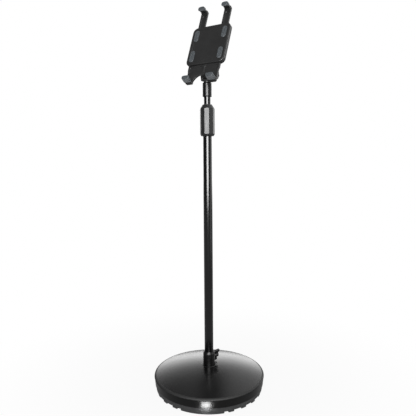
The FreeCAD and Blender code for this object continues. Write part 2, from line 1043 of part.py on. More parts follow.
def grub_screw():
    screw = Piece("sleeve_grub_screw")
    height = sleeve_seat - grub_drop
    start = inner_tube_radius + face_gap
    end = sleeve_radius - face_gap
    screw.pad("screw", "XZ_Plane", start, end, circle(0, height, grub_radius))
    socket = [(x, height + z) for x, z in polygon(hex_sides, grub_radius / 2, 0)]
    screw.cut("socket", "XZ_Plane", end - grub_socket_depth, end + cut_past, socket)


def swivel_clevis():
    fork = Piece("swivel_clevis")
    fork_foot = fork_foot_depth / 2
    screw_bore = post_screw_radius + running
    fork.turn(
        "post",
        [
            (screw_bore, sleeve_seat),
            (post_radius, sleeve_seat),
            (post_radius, washer_top),
            (neck_radius, washer_top),
            (neck_radius, fork_bottom + pad_sunk),
            (0, fork_bottom + pad_sunk),
            (0, sleeve_seat + post_screw_reach),
            (screw_bore, sleeve_seat + post_screw_reach),
        ],
    )
    fork.pad(
        "cheeks",
        "YZ_Plane",
        -half_fork,
        half_fork,
        [
            (-fork_foot, fork_bottom),
            (fork_foot, fork_bottom),
            (fork_eye_radius, hinge_height, fork_eye_radius + half_turn_ease, LEFT),
            (-fork_eye_radius, hinge_height),
        ],
    )
    fork.cut(
        "slot",
        "XZ_Plane",
        -fork_eye_radius - cut_past,
        fork_eye_radius + cut_past,
        box(
            -half_slot,
            half_slot,
            hinge_height - arm_eye_radius - eye_clearance,
            hinge_height + fork_eye_radius + cut_past,
        ),
    )
    fork.cut(
        "hinge_hole",
        "YZ_Plane",
        -half_fork - cut_past,
        half_fork + cut_past,
        circle(0, hinge_height, hinge_radius + running),
    )


def swivel_fixings():
    disc(
        "swivel_washer",
        None,
        post_radius + face_gap,
        swivel_washer_radius,
        sleeve_top + running,
        washer_top - running,
    )
    lower_top = sleeve_seat - face_gap
    lower_bottom = lower_top - swivel_washer_thickness
    disc(
        "swivel_retainer",
        None,
        post_screw_radius + face_gap,
        inner_tube_radius - inner_tube_wall - slack,
        lower_bottom,
        lower_top,
    )
    screw = Piece("swivel_screw")
    head_bottom = lower_bottom - post_screw_head_height
    screw.pad(
        "head", "XY_Plane", head_bottom, lower_bottom, circle(0, 0, post_screw_head_radius)
    )
    screw.pad(
        "shank",
        "XY_Plane",
        lower_bottom,
        sleeve_seat + post_screw_reach - slack,
        circle(0, 0, post_screw_radius),
    )
    screw.cut(
        "socket",
        "XY_Plane",
        head_bottom - cut_past,
        head_bottom + post_screw_socket_depth,
        polygon(hex_sides, post_screw_radius, 0),
    )


def tilt_bolt():
    bolt = Piece("tilt_bolt", on_hinge())
    seat = -half_fork - running
    end = knob_start + knob_insert_length
    bolt.turn(
        "head",
        [
            (0, seat - hinge_head_height),
            (hinge_head_radius - hinge_head_crown, seat - hinge_head_height, hinge_head_radius, LEFT),
            (hinge_head_radius, seat - hinge_head_edge),
            (hinge_head_radius, seat),
            (0, seat),
        ],
    )
    bolt.pad("shank", "XY_Plane", seat, end, circle(0, 0, hinge_radius))
    low = seat - hinge_head_height
    socket = polygon(hex_sides, hinge_socket_radius, 0)
    bolt.cut("socket", "XY_Plane", low - cut_past, low + hinge_socket_depth, socket)


def tilt_fixings():
    start = half_fork + face_gap
    disc(
        "knob_washer",
        on_hinge(),
        hinge_radius + running,
        knob_washer_radius,
        start,
        start + knob_washer_thickness,
    )
    washers = Piece("friction_washers", on_hinge(), len(SIDES))
    ring = washers.turn(
        "washer",
        box(
            hinge_radius + face_gap,
            arm_eye_radius - slack,
            half_slot - face_gap - friction_washer_thickness,
            half_slot - face_gap,
        ),
    )
    washers.mirror("other_washer", [ring], "XY_Plane")


def tilt_knob():
    knob = Piece("tilt_knob", on_hinge())
    bore = knob_insert_radius
    end = knob_start + knob_length
    knob.turn(
        "knob",
        [
            (bore, knob_start),
            (knob_radius - knob_flare, knob_start),
            (knob_radius, knob_start + knob_flare),
            (knob_radius, end - knob_round, knob_round, LEFT),
            (knob_radius - knob_round, end),
            (0, end),
            (0, knob_start + knob_insert_length + face_gap),
            (bore, knob_start + knob_insert_length + face_gap),
        ],
    )
    scallop = knob.cut(
        "scallop",
        "XY_Plane",
        knob_start - cut_past,
        end + cut_past,
        circle(knob_radius + knob_scallop_out, 0, knob_scallop_radius),
    )
    knob.around("scallops", [scallop], knob_lobes)
    disc(
        "tilt_knob_insert",
        on_hinge(),
        hinge_radius + running,
        knob_insert_radius,
        knob_start,
        knob_start + knob_insert_length,
    )


def tilt_arm():
    arm = Piece("tilt_arm", head_place)
    half_tongue = half_slot - face_gap - friction_washer_thickness - face_gap
    rear = arm_front + arm_thickness
    plate_front = arm_front + arm_hub_standing
    waist = arm_waist / 2
    shoulder = eye_up + fork_eye_radius + arm_shoulder_rise
    arm.pad(
        "eye",
        "YZ_Plane",
        -half_tongue,
        half_tongue,
        circle(eye_behind, eye_up, arm_eye_radius),
    )
    arm.pad(
        "tongue",
        "YZ_Plane",
        -half_tongue,
        half_tongue,
        box(plate_front, rear, eye_up, shoulder + arm_blend_up),
    )
    arm.pad(
        "plate",
        "XZ_Plane",
        plate_front,
        rear,
        [
            (-half_tongue, shoulder - arm_blend_down),
            (half_tongue, shoulder - arm_blend_down),
            (waist, shoulder),
            (arm_top_half_width, -arm_top_drop),
            (arm_top_half_width, 0),
            (-arm_top_half_width, 0),
            (-arm_top_half_width, -arm_top_drop),
            (-waist, shoulder),
        ],
    )
    arm.pad("hub", "XZ_Plane", arm_front, rear, circle(0, 0, arm_hub_radius))
    arm.cut(
        "rear_recess",
        "XZ_Plane",
        rear - arm_recess_depth,
        rear + cut_past,
        [
            (-half_tongue + arm_rib, shoulder - recess_overlap),
            (half_tongue - arm_rib, shoulder - recess_overlap),
            (waist - arm_rib, shoulder + arm_blend_up),
            (recess_half_width, -recess_drop, recess_radius, LEFT),
            (-recess_half_width, -recess_drop),
            (-waist + arm_rib, shoulder + arm_blend_up),
        ],
    )
    arm.cut(
        "hinge_hole",
        "YZ_Plane",
        -half_tongue - cut_past,
        half_tongue + cut_past,
        circle(eye_behind, eye_up, hinge_radius + running),
    )
    hub_hole = circle(0, 0, hub_bolt_radius + running)
    arm.cut("hub_hole", "XZ_Plane", arm_front - cut_past, rear + cut_past, hub_hole)


def hub_fixings():
    bolt = Piece("hub_bolt", on_head())
    seat = body_rear - body_wall - face_gap
    nut_end = hub_nut_start + hub_nut_height
    bolt.turn(
        "bolt",
        [
            (0, seat - hub_head_height),
            (hub_head_radius - hub_head_edge, seat - hub_head_height),
            (hub_head_radius, seat - hub_head_height + hub_head_edge),
            (hub_head_radius, seat),
            (hub_bolt_radius, seat),
            (hub_bolt_radius, nut_end + hub_bolt_standing),
            (0, nut_end + hub_bolt_standing),
        ],
    )
    disc(
        "hub_washer",
        on_head(),
        hub_bolt_radius + face_gap,
        hub_washer_radius,
        body_rear + face_gap,
        arm_front - face_gap,
    )
    nut = Piece("hub_nut", on_head())
    nut.pad(
        "nut",
        "XY_Plane",
        hub_nut_start,
        nut_end,
        polygon(hex_sides, hub_nut_radius, 0),
        circle(0, 0, hub_bolt_radius + running),
    )
    nut.chamfer("edge", hub_nut_chamfer, both(lies_at("Z", nut_end), outside_circle(hub_bolt_radius)))
    cap = Piece("hub_cap", on_head())
    cap_end = hub_nut_start + hub_cap_height
    cap.turn(
        "cap",
        [
            (hub_cap_radius - hub_cap_wall, hub_nut_start),
            (hub_cap_radius, hub_nut_start),
            (hub_cap_radius, cap_end - hub_cap_round, hub_cap_round, LEFT),
            (hub_cap_radius - hub_cap_round, cap_end),
            (0, cap_end),
            (0, cap_end - hub_cap_wall),
            (hub_cap_radius - hub_cap_wall, cap_end - hub_cap_wall),
        ],
    )


def outside_circle(radius):
    """Picks edges whose middle lies further from the axis than a radius."""

    def choose(edge):
        middle = edge.CenterOfMass
        return math.hypot(middle.x, middle.y) > (radius + pad_sunk).value

    return choose


def body_outline(inset=0):
    """The holder body's rounded outline, drawn in by an inset."""
    inset = as_size(inset)
    return rounded(
        inset - body_side, body_side - inset, body_bottom + inset, body_top - inset, body_corner - inset
    )


def prong_slot(side):
    """The room for a prong's section, on the right (1) or on the left (-1)."""
    low, high = prong_inner - slack, prong_outer + slack
    if side < 0:
        low, high = -high, -low
    return low, high


def holder_front():
    front = Piece("holder_front", head_place)
    plate_rear = body_front + body_wall
    front.pad("plate", "XZ_Plane", body_front, body_split, body_outline())
    front.cut("inside", "XZ_Plane", plate_rear, body_split + cut_past, body_outline(body_wall))
    front.fillet("face_edge", body_round, lies_at("Y", body_front))
    panel = body_outline(panel_margin)
    front.cut("panel", "XZ_Plane", body_front - cut_past, body_front + panel_depth, panel)
    half_width = pad_width / 2
    half_height = pad_height / 2
    for left, low in CORNERS:
        across = pad_across * left
        up = pad_up * low
        recess = rounded(
            across - half_width - face_gap,
            across + half_width + face_gap,
            up - half_height - face_gap,
            up + half_height + face_gap,
            half_width,
        )
        front.cut("pad_recess", "XZ_Plane", body_front - cut_past, body_front + panel_depth, recess)
    for side in SIDES:
        low, high = prong_slot(side)
        front.cut(
            "prong_slot",
            "XZ_Plane",
            prong_front - slack,
            body_split + cut_past,
            box(low, high, body_top - body_wall - cut_past, body_top + cut_past),
        )
    half_tab = tab_width / 2 + slack
    front.cut(
        "tab_slot",
        "XZ_Plane",
        prong_front - slack,
        body_split + cut_past,
        box(-half_tab, half_tab, body_bottom - cut_past, body_bottom + body_wall + cut_past),
    )
    boss_front = plate_rear - pad_sunk
    for left, low in CORNERS:
        across = screw_across * left
        up = screw_up * low
        front.pad(
            "screw_boss",
            "XZ_Plane",
            boss_front,
            body_split,
            circle(across, up, screw_boss_radius),
        )
    for left, low in CORNERS:
        across = screw_across * left
        up = screw_up * low
        front.cut(
            "screw_pilot",
            "XZ_Plane",
            plate_rear,
            body_split + cut_past,
            circle(across, up, screw_radius + running),
        )


def holder_rear():
    rear = Piece("holder_rear", head_place)
    wall_front = body_rear - body_wall
    split = body_split + running
    rear.pad("plate", "XZ_Plane", split, body_rear, body_outline())
    rear.cut("inside", "XZ_Plane", split - cut_past, wall_front, body_outline(body_wall))
    rear.fillet("rear_edge", body_round, lies_at("Y", body_rear))
    rail_top = body_top - body_wall
    rail_bottom = body_bottom + body_wall
    for side in SIDES:
        low, high = prong_slot(side)
        inner_rail = (low - rail_width, low) if side > 0 else (high, high + rail_width)
        rear.pad(
            "rail",
            "XZ_Plane",
            prong_front + bridge_thickness + slack,
            wall_front + pad_sunk,
            box(*inner_rail, rail_bottom + rail_start, rail_top + pad_sunk),
        )
        rear.cut(
            "prong_slot",
            "XZ_Plane",
            split - cut_past,
            prong_rear + slack,
            box(low, high, rail_top - cut_past, body_top + cut_past),
        )
    half_tab = tab_width / 2 + slack
    rear.cut(
        "tab_slot",
        "XZ_Plane",
        split - cut_past,
        prong_rear + slack,
        box(-half_tab, half_tab, body_bottom - cut_past, rail_bottom + cut_past),
    )
    for left, low in CORNERS:
        across = screw_across * left
        up = screw_up * low
        rear.pad(
            "screw_boss",
            "XZ_Plane",
            split,
            wall_front + pad_sunk,
            circle(across, up, screw_boss_radius),
        )
    rear.pad(
        "hub_ring",
        "XZ_Plane",
        body_rear - pad_sunk,
        body_rear + face_gap,
        circle(0, 0, hub_washer_radius),
    )
    rear.pad(
        "lock_boss",
        "XZ_Plane",
        body_rear - pad_sunk,
        body_rear + lock_boss_height,
        circle(half_pitch, lock_up, lock_boss_radius),
    )
    hub_hole = circle(0, 0, hub_bolt_radius + running)
    rear.cut("hub_hole", "XZ_Plane", wall_front - cut_past, body_rear + cut_past, hub_hole)
    rear.cut(
        "lock_hole",
        "XZ_Plane",
        wall_front - cut_past,
        body_rear + lock_boss_height + cut_past,
        circle(half_pitch, lock_up, lock_stud_radius + running),
    )
    for left, low in CORNERS:
        across = screw_across * left
        up = screw_up * low
        rear.cut(
            "screw_hole",
            "XZ_Plane",
            split - cut_past,
            body_rear + cut_past,
            circle(across, up, screw_radius + slack),
        )
        rear.cut(
            "screw_sink",
            "XZ_Plane",
            body_rear - screw_head_height - face_gap,
            body_rear + cut_past,
            circle(across, up, screw_head_radius + face_gap),
        )
    for across in (-tab_screw_across, tab_screw_across):
        up = rail_bottom + tab_height / 2
        rear.cut(
            "tab_hole",
            "XZ_Plane",
            wall_front - cut_past,
            body_rear + cut_past,
            circle(across, up, screw_radius + slack),
        )
        rear.cut(
            "tab_sink",
            "XZ_Plane",
            body_rear - screw_head_height - face_gap,
            body_rear + cut_past,
            circle(across, up, screw_head_radius + face_gap),
        )


def holder_screws():
    screws = Piece("holder_screws", head_place, len(CORNERS))
    seat = body_rear - screw_head_height
    for left, low in CORNERS:
        across = screw_across * left
        up = screw_up * low
        screws.pad(
            "head", "XZ_Plane", seat, body_rear - running, circle(across, up, screw_head_radius)
        )
        screws.pad(
            "shank", "XZ_Plane", body_front + body_wall + slack, seat, circle(across, up, screw_radius)
        )
        screws.cut(
            "cross",
            "XZ_Plane",
            body_rear - screw_head_height / 2,
            body_rear + cut_past,
            cross_loop(across, up),
        )


def cross_loop(x, y):
    """A screw's cross recess."""
    reach = screw_cross_reach
    half = screw_cross_half
    return [
        (x - reach, y - half),
        (x - half, y - half),
        (x - half, y - reach),
        (x + half, y - reach),
        (x + half, y - half),
        (x + reach, y - half),
        (x + reach, y + half),
        (x + half, y + half),
        (x + half, y + reach),
        (x - half, y + reach),
        (x - half, y + half),
        (x - reach, y + half),
    ]


def tab_screws():
    screws = Piece("lower_jaw_screws", head_place, len(SIDES))
    seat = body_rear - screw_head_height
    up = body_bottom + body_wall + tab_height / 2
    for across in (-tab_screw_across, tab_screw_across):
        screws.pad("head", "XZ_Plane", seat, body_rear - running, circle(across, up, screw_head_radius))
        screws.pad("shank", "XZ_Plane", prong_front + tab_screw_inset, seat, circle(across, up, screw_radius))
        screws.cut(
            "cross",
            "XZ_Plane",
            body_rear - screw_head_height / 2,
            body_rear + cut_past,
            cross_loop(across, up),
        )


def back_pads():
    pads = Piece("back_pads", head_place, len(CORNERS))
    half_width = pad_width / 2
    half_height = pad_height / 2
    rear = body_front + panel_depth - running
    for left, low in CORNERS:
        across = pad_across * left
        up = pad_up * low
        outline = rounded(
            across - half_width,
            across + half_width,
            up - half_height,
            up + half_height,
            half_width - face_gap,
        )
        pads.pad("pad", "XZ_Plane", rear - pad_thickness, rear, outline)


def foot_tongue(jaw, side, low, high):
    """The stub that carries a rubber boot, forward of a prong or a leg."""
    middle = half_pitch * side
    half = tongue_width / 2
    jaw.pad(
        "tongue",
        "XZ_Plane",
        lip_front + lip_thickness / 2,
        prong_front + pad_sunk,
        box(middle - half, middle + half, low, high),
    )


def upper_jaw():
    jaw = Piece("upper_jaw", head_place)
    jaw.pad(
        "bridge",
        "XZ_Plane",
        prong_front,
        prong_front + bridge_thickness,
        box(-half_pitch, half_pitch, bridge_bottom, bridge_bottom + bridge_height),
    )
    tongue_low = hook_seat + (shelf_thickness - tongue_thickness) / 2
    for side in SIDES:
        low, high = (prong_inner, prong_outer) if side > 0 else (-prong_outer, -prong_inner)
        jaw.pad(
            "prong",
            "XZ_Plane",
            prong_front,
            prong_rear,
            [
                (low, bridge_bottom),
                (high, bridge_bottom),
                (high, hook_top - prong_corner, prong_corner, LEFT),
                (high - prong_corner, hook_top),
                (low + prong_corner, hook_top, prong_corner, LEFT),
                (low, hook_top - prong_corner),
            ],
        )
        jaw.pad(
            "shelf_root",
            "XZ_Plane",
            boot_rear + face_gap,
            prong_front + pad_sunk,
            box(low + root_inset, high - root_inset, hook_seat, hook_top - root_inset),
        )
        foot_tongue(jaw, side, tongue_low, tongue_low + tongue_thickness)
        groove_half = prong_groove_width / 2
        middle = half_pitch * side
        jaw.cut(
            "front_groove",
            "XZ_Plane",
            prong_front - cut_past,
            prong_front + prong_groove_depth,
            rounded(
                middle - groove_half,
                middle + groove_half,
                bridge_bottom + bridge_height + prong_groove_margin,
                hook_seat - prong_groove_margin,
                groove_half - face_gap,
            ),
        )
        jaw.cut(
            "rear_groove",
            "XZ_Plane",
            prong_rear - prong_groove_depth,
            prong_rear + cut_past,
            rounded(
                middle - groove_half,
                middle + groove_half,
                bridge_bottom + prong_groove_margin,
                hook_seat - prong_groove_margin,
                groove_half - face_gap,
            ),
        )


def lower_jaw():
    jaw = Piece("lower_jaw", head_place)
    plate_top = body_bottom - face_gap
    half_web = web_width / 2
    half_arch = arch_width / 2
    half_tab = tab_width / 2
    shoulder = plate_top - web_height
    arch_side = shelf_seat - arch_foot
    jaw.pad(
        "web",
        "XZ_Plane",
        prong_front,
        prong_rear,
        [
            (-prong_outer, shelf_bottom + leg_corner, leg_corner, LEFT),
            (-prong_outer + leg_corner, shelf_bottom),
            (-prong_inner - leg_bevel, shelf_bottom),
            (-prong_inner, shelf_bottom + leg_bevel),
            (-prong_inner, arch_side, arch_radius, RIGHT),
            (-half_arch + arch_inset, arch_top),
            (half_arch - arch_inset, arch_top, arch_radius, RIGHT),
            (prong_inner, arch_side),
            (prong_inner, shelf_bottom + leg_bevel),
            (prong_inner + leg_bevel, shelf_bottom),
            (prong_outer - leg_corner, shelf_bottom, leg_corner, LEFT),
            (prong_outer, shelf_bottom + leg_corner),
            (prong_outer, shoulder),
            (half_web, shoulder + web_shoulder),
            (half_web, plate_top - web_bevel),
            (half_web - web_bevel, plate_top),
            (half_tab, plate_top),
            (half_tab, body_bottom + body_wall + tab_height),
            (-half_tab, body_bottom + body_wall + tab_height),
            (-half_tab, plate_top),
            (-half_web + web_bevel, plate_top),
            (-half_web, plate_top - web_bevel),
            (-half_web, shoulder + web_shoulder),
            (-prong_outer, shoulder),
        ],
    )
    tongue_low = shelf_bottom + (shelf_thickness - tongue_thickness) / 2
    for side in SIDES:
        middle = half_pitch * side
        half = prong_width / 2 - root_inset
        jaw.pad(
            "shelf_root",
            "XZ_Plane",
            boot_rear + face_gap,
            prong_front + pad_sunk,
            box(middle - half, middle + half, shelf_bottom + root_inset, shelf_seat),
        )
        foot_tongue(jaw, side, tongue_low, tongue_low + tongue_thickness)
    for across in (-tab_screw_across, tab_screw_across):
        jaw.cut(
            "tab_hole",
            "XZ_Plane",
            prong_front - cut_past,
            prong_rear + cut_past,
            circle(across, body_bottom + body_wall + tab_height / 2, screw_radius + running),
        )
    panel_low = arch_top + web_panel_margin
    panel_high = plate_top - web_panel_margin
    panel_side = half_web - web_panel_margin
    for side in SIDES:
        low, high = (web_panel_centre, panel_side) if side > 0 else (-panel_side, -web_panel_centre)
        jaw.cut(
            "web_panel",
            "XZ_Plane",
            prong_front - cut_past,
            prong_front + prong_groove_depth,
            rounded(low, high, panel_low, panel_high, web_panel_corner),
        )


def boots(label, seat, end, width, direction):
    """A pair of rubber boots: a shelf with a lip that turns over the device's front."""
    pair = Piece(label, head_place, len(SIDES))
    low, high = (seat, end) if direction > 0 else (end, seat)
    edge = seat - lip_grip * direction - face_gap * direction
    lip_rear = lip_front + lip_thickness
    half = width / 2
    tongue_low = low + (shelf_thickness - tongue_thickness) / 2
    tongue_half = tongue_width / 2 + running
    if direction > 0:
        profile = [
            (lip_front, edge),
            (lip_rear, edge),
            (lip_rear, seat),
            (boot_rear, seat),
            (boot_rear, end),
            (lip_front, end),
        ]
    else:
        profile = [
            (lip_front, end),
            (boot_rear, end),
            (boot_rear, seat),
            (lip_rear, seat),
            (lip_rear, edge),
            (lip_front, edge),
        ]
    for side in SIDES:
        middle = half_pitch * side
        pair.pad("boot", "YZ_Plane", middle - half, middle + half, profile)
    pair.fillet("soft_face", boot_round, lies_at("Y", lip_front))
    for side in SIDES:
        middle = half_pitch * side
        pair.cut(
            "tongue_slot",
            "XZ_Plane",
            lip_front + lip_thickness / 2 - running,
            boot_rear + cut_past,
            box(
                middle - tongue_half,
                middle + tongue_half,
                tongue_low - running,
                tongue_low + tongue_thickness + running,
            ),
        )


def jaw_lock():
    place = on_head(half_pitch, lock_up)
    knob_front = body_rear + lock_boss_height + slack
    knob_end = knob_front + lock_knob_length
    shoe_front = prong_rear + face_gap - prong_groove_depth
    disc("lock_shoe", place, 0, lock_stud_radius, shoe_front, shoe_front + lock_shoe_thickness)
    stud = Piece("lock_stud", place)
    stud.pad(
        "stud",
        "XY_Plane",
        shoe_front + lock_shoe_thickness + face_gap,
        knob_end - lock_knob_skin,
        circle(0, 0, lock_stud_radius),
    )
    knob = Piece("lock_knob", place)
    knob.turn(
        "knob",
        [
            (lock_stud_radius, knob_front),
            (lock_knob_radius - lock_knob_flare, knob_front),
            (lock_knob_radius, knob_front + lock_knob_flare),
            (lock_knob_radius, knob_end - lock_knob_round, lock_knob_round, LEFT),
            (lock_knob_radius - lock_knob_round, knob_end),
            (0, knob_end),
            (0, knob_end - lock_knob_skin),
            (lock_stud_radius, knob_end - lock_knob_skin),
        ],
    )
    scallop = knob.cut(
        "scallop",
        "XY_Plane",
        knob_front - cut_past,
        knob_end + cut_past,
        circle(lock_knob_radius + lock_scallop_out, 0, lock_scallop_radius),
    )
    knob.around("scallops", [scallop], lock_knob_lobes)


def build():
    """Make every piece."""
    base_cover()
    base_tray()
    foot_pads()
    cover_screws()
    ballast()
    pole_socket()
    socket_bolt()
    disc(
        "socket_washer",
        None,
        base_bolt_radius + slack,
        base_washer_radius,
        recess_under - base_washer_thickness + running,
        recess_under - running,
    )
    clamp_pad()
    wing_stud()
    wing_screw()
    lower_tube()
    clutch_base()
    clutch_collet()
    clutch_grip()
    upper_tube()
    tube_guide()
    neck_sleeve()
    grub_screw()
    swivel_clevis()
    swivel_fixings()
    tilt_bolt()
    tilt_fixings()
    tilt_knob()
    tilt_arm()
    hub_fixings()
    holder_front()
    holder_rear()
    holder_screws()
    tab_screws()
    back_pads()
    upper_jaw()
    lower_jaw()
    boots("upper_boots", hook_seat, hook_top, upper_boot_width, 1)
    boots("lower_boots", shelf_seat, shelf_bottom, lower_boot_width, -1)
    jaw_lock()


def check_and_write():
    """Stop on a failed feature, a bad shape or a loose solid, then write a STEP file for each piece."""
    for piece in pieces:
        piece.body.Placement = piece.place
    doc.recompute()
    for item in doc.Objects:
        if "Invalid" in item.State or "Error" in item.State:
            raise RuntimeError(f"{item.Label} failed: {item.State}")
    os.makedirs("parts", exist_ok=True)
    for piece in pieces:
        shape = piece.body.Shape
        if shape.isNull() or not shape.isValid():
            raise RuntimeError(f"{piece.body.Label} has no valid shape")
        if len(shape.Solids) != piece.solids:
            raise RuntimeError(f"{piece.body.Label} is {len(shape.Solids)} solids")
        shape.exportStep(f"parts/{piece.body.Label}.step")


build()
check_and_write()
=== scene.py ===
import json
import math

import bmesh
import bpy
from mathutils import Matrix, Vector


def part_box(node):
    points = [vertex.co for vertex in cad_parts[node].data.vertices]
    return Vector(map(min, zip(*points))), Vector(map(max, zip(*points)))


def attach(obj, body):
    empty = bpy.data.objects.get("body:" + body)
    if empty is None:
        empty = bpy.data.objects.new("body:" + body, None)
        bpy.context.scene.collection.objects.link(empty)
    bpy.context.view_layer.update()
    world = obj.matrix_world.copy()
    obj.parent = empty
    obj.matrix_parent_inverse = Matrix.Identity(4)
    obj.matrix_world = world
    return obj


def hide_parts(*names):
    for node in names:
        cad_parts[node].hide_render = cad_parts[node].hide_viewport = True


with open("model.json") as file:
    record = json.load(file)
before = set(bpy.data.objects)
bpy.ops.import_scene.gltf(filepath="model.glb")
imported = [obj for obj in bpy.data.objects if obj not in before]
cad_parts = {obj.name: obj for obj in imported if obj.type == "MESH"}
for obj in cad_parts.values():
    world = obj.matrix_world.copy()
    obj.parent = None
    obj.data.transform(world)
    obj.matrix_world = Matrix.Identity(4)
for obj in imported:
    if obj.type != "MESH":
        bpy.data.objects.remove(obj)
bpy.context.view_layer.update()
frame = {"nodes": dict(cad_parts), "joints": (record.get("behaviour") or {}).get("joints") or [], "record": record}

# The looks of a tablet floor stand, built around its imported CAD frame. Places, the camera and
# the lights are in metres, +Z up. The sizes of pieces and of the grain in their finishes are in
# millimetres, and MM turns them into metres.
MM = 0.001
nodes = frame["nodes"]
joints = {joint["name"]: joint for joint in frame["joints"]}
body_of = {
    node: body
    for body, members in frame["record"]["behaviour"]["bodies"].items()
    for node in members
}


# Places

def facing(origin, axis, side):
    """A place whose Z is the axis and whose X is as near to side as it can be."""
    z = Vector(axis).normalized()
    x = (Vector(side) - z * z.dot(Vector(side))).normalized()
    turned = Matrix((x, z.cross(x), z)).transposed().to_4x4()
    return Matrix.Translation(origin) @ turned


def about_pole(degrees, reach=1.0, height=0.0):
    """A point by its turn about the pole, from the stand's front towards +X."""
    angle = math.radians(degrees)
    return reach * math.sin(angle), -reach * math.cos(angle), height


def reach_of(node):
    """The lowest and the highest point of a CAD node, in millimetres above the floor."""
    low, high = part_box(node)
    return low.z / MM, high.z / MM


holder_axis = joints["holder_turn"]
# On the head X is across, Y is up along the device and Z is towards the rear
head_rear = facing(holder_axis["pos_m"], [-part for part in holder_axis["axis"]], (-1, 0, 0))
knob_place = facing(joints["tilt_knob_turn"]["pos_m"], (1, 0, 0), (0, 0, -1))
lock_place = facing(joints["lock_turn"]["pos_m"], joints["lock_turn"]["axis"], (1, 0, 0))


def on_head(across, rear, up):
    """A point on the head in millimetres, from the middle of the device's front plane."""
    return head_rear @ Vector((-across * MM, up * MM, rear * MM))


# Meshes

ROUND_STEPS = 128


def clean_mesh(name, work, sharp=35):
    """Weld a bmesh, face it outwards and write it as a smooth mesh with sharp edges kept."""
    bmesh.ops.remove_doubles(work, verts=work.verts, dist=1e-7)
    bmesh.ops.recalc_face_normals(work, faces=work.faces)
    mesh = bpy.data.meshes.new(name)
    work.to_mesh(mesh)
    work.free()
    if "custom_normal" in mesh.attributes:
        mesh.attributes.remove(mesh.attributes["custom_normal"])
    mesh.shade_smooth()
    mesh.set_sharp_from_angle(angle=math.radians(sharp))
    return mesh


def skin(name, rings, closed, sharp=35):
    """A mesh over rings of points, with capped ends or joined end to end."""
    work = bmesh.new()
    rows = [[work.verts.new(point) for point in ring] for ring in rings]
    pairs = list(zip(rows, rows[1:]))
    if closed:
        pairs.append((rows[-1], rows[0]))
    for low, high in pairs:
        for index in range(len(low)):
            after = (index + 1) % len(low)
            work.faces.new((low[index], low[after], high[after], high[index]))
    if not closed:
        work.faces.new(rows[0])
        work.faces.new(rows[-1])
    return clean_mesh(name, work, sharp)


def rounded(corners, steps=5):
    """A closed outline. Each corner is x, y and the radius that rounds it."""
    outline = []
    for index, (x, y, radius) in enumerate(corners):
        here = Vector((x, y))
        if radius <= 0:
            outline.append(here)
            continue
        back = (Vector(corners[index - 1][:2]) - here).normalized()
        ahead = (Vector(corners[(index + 1) % len(corners)][:2]) - here).normalized()
        half = back.angle(ahead) / 2
        centre = here + (back + ahead).normalized() * (radius / math.sin(half))
        start = here + back * (radius / math.tan(half)) - centre
        end = here + ahead * (radius / math.tan(half)) - centre
        first = math.atan2(start.y, start.x)
        turn = math.remainder(math.atan2(end.y, end.x) - first, math.tau)
        for step in range(steps + 1):
            angle = first + turn * step / steps
            outline.append(centre + radius * Vector((math.cos(angle), math.sin(angle))))
    return outline


def ring_point(radius, angle, height):
    """A point about Z, from millimetres."""
    return Vector((radius * math.cos(angle) * MM, radius * math.sin(angle) * MM, height * MM))


def lathe(name, profile, place=Matrix(), around=None, count=ROUND_STEPS, sharp=35):
    """Turn a closed profile of radius and height about Z. around can change a radius by its angle."""
    rings = []
    for radius, height in profile:
        ring = []
        for step in range(count):
            angle = math.tau * step / count
            here = around(radius, angle) if around else radius
            ring.append(place @ ring_point(here, angle, height))
        rings.append(ring)
    return skin(name, rings, closed=True, sharp=sharp)


def bevelled(node, width):
    """A copy of a CAD node's mesh with its edges rounded."""
    sharp = math.radians(30)
    work = bmesh.new()
    work.from_mesh(nodes[node].data)
    bmesh.ops.remove_doubles(work, verts=work.verts, dist=2e-6)
    edges = [
        edge for edge in work.edges if len(edge.link_faces) == 2 and edge.calc_face_angle() > sharp
    ]
    bmesh.ops.bevel(
        work,
        geom=edges,
        offset=width * MM,
        offset_type="OFFSET",
        segments=3,
        profile=0.5,
        affect="EDGES",
        clamp_overlap=False,
    )
    return clean_mesh(node + "_shape", work)


def moulded(node, voxel, rounds, swell):
    """A copy of a CAD node's mesh, remeshed and smoothed until its edges run softly into each other.

    Smoothing takes a little off all round, and swell puts it back.
    """
    work = bmesh.new()
    work.from_mesh(nodes[node].data)
    source = clean_mesh(node + "_source", work)
    item = bpy.data.objects.new(node + "_source", source)
    bpy.context.scene.collection.objects.link(item)
    remesh = item.modifiers.new("remesh", "REMESH")
    remesh.mode = "VOXEL"
    remesh.voxel_size = voxel * MM
    smooth = item.modifiers.new("smooth", "SMOOTH")
    smooth.factor = 0.5
    smooth.iterations = rounds
    grow = item.modifiers.new("grow", "DISPLACE")
    grow.strength = swell * MM
    grow.mid_level = 0
    graph = bpy.context.evaluated_depsgraph_get()
    mesh = bpy.data.meshes.new_from_object(item.evaluated_get(graph))
    bpy.data.objects.remove(item)
    mesh.name = node + "_shape"
    mesh.shade_smooth()
    mesh.set_sharp_from_angle(angle=math.radians(60))
    return mesh


def joined(name, meshes):
    """One mesh from several."""
    work = bmesh.new()
    for mesh in meshes:
        work.from_mesh(mesh)
        bpy.data.meshes.remove(mesh)
    return clean_mesh(name, work)


# Materials

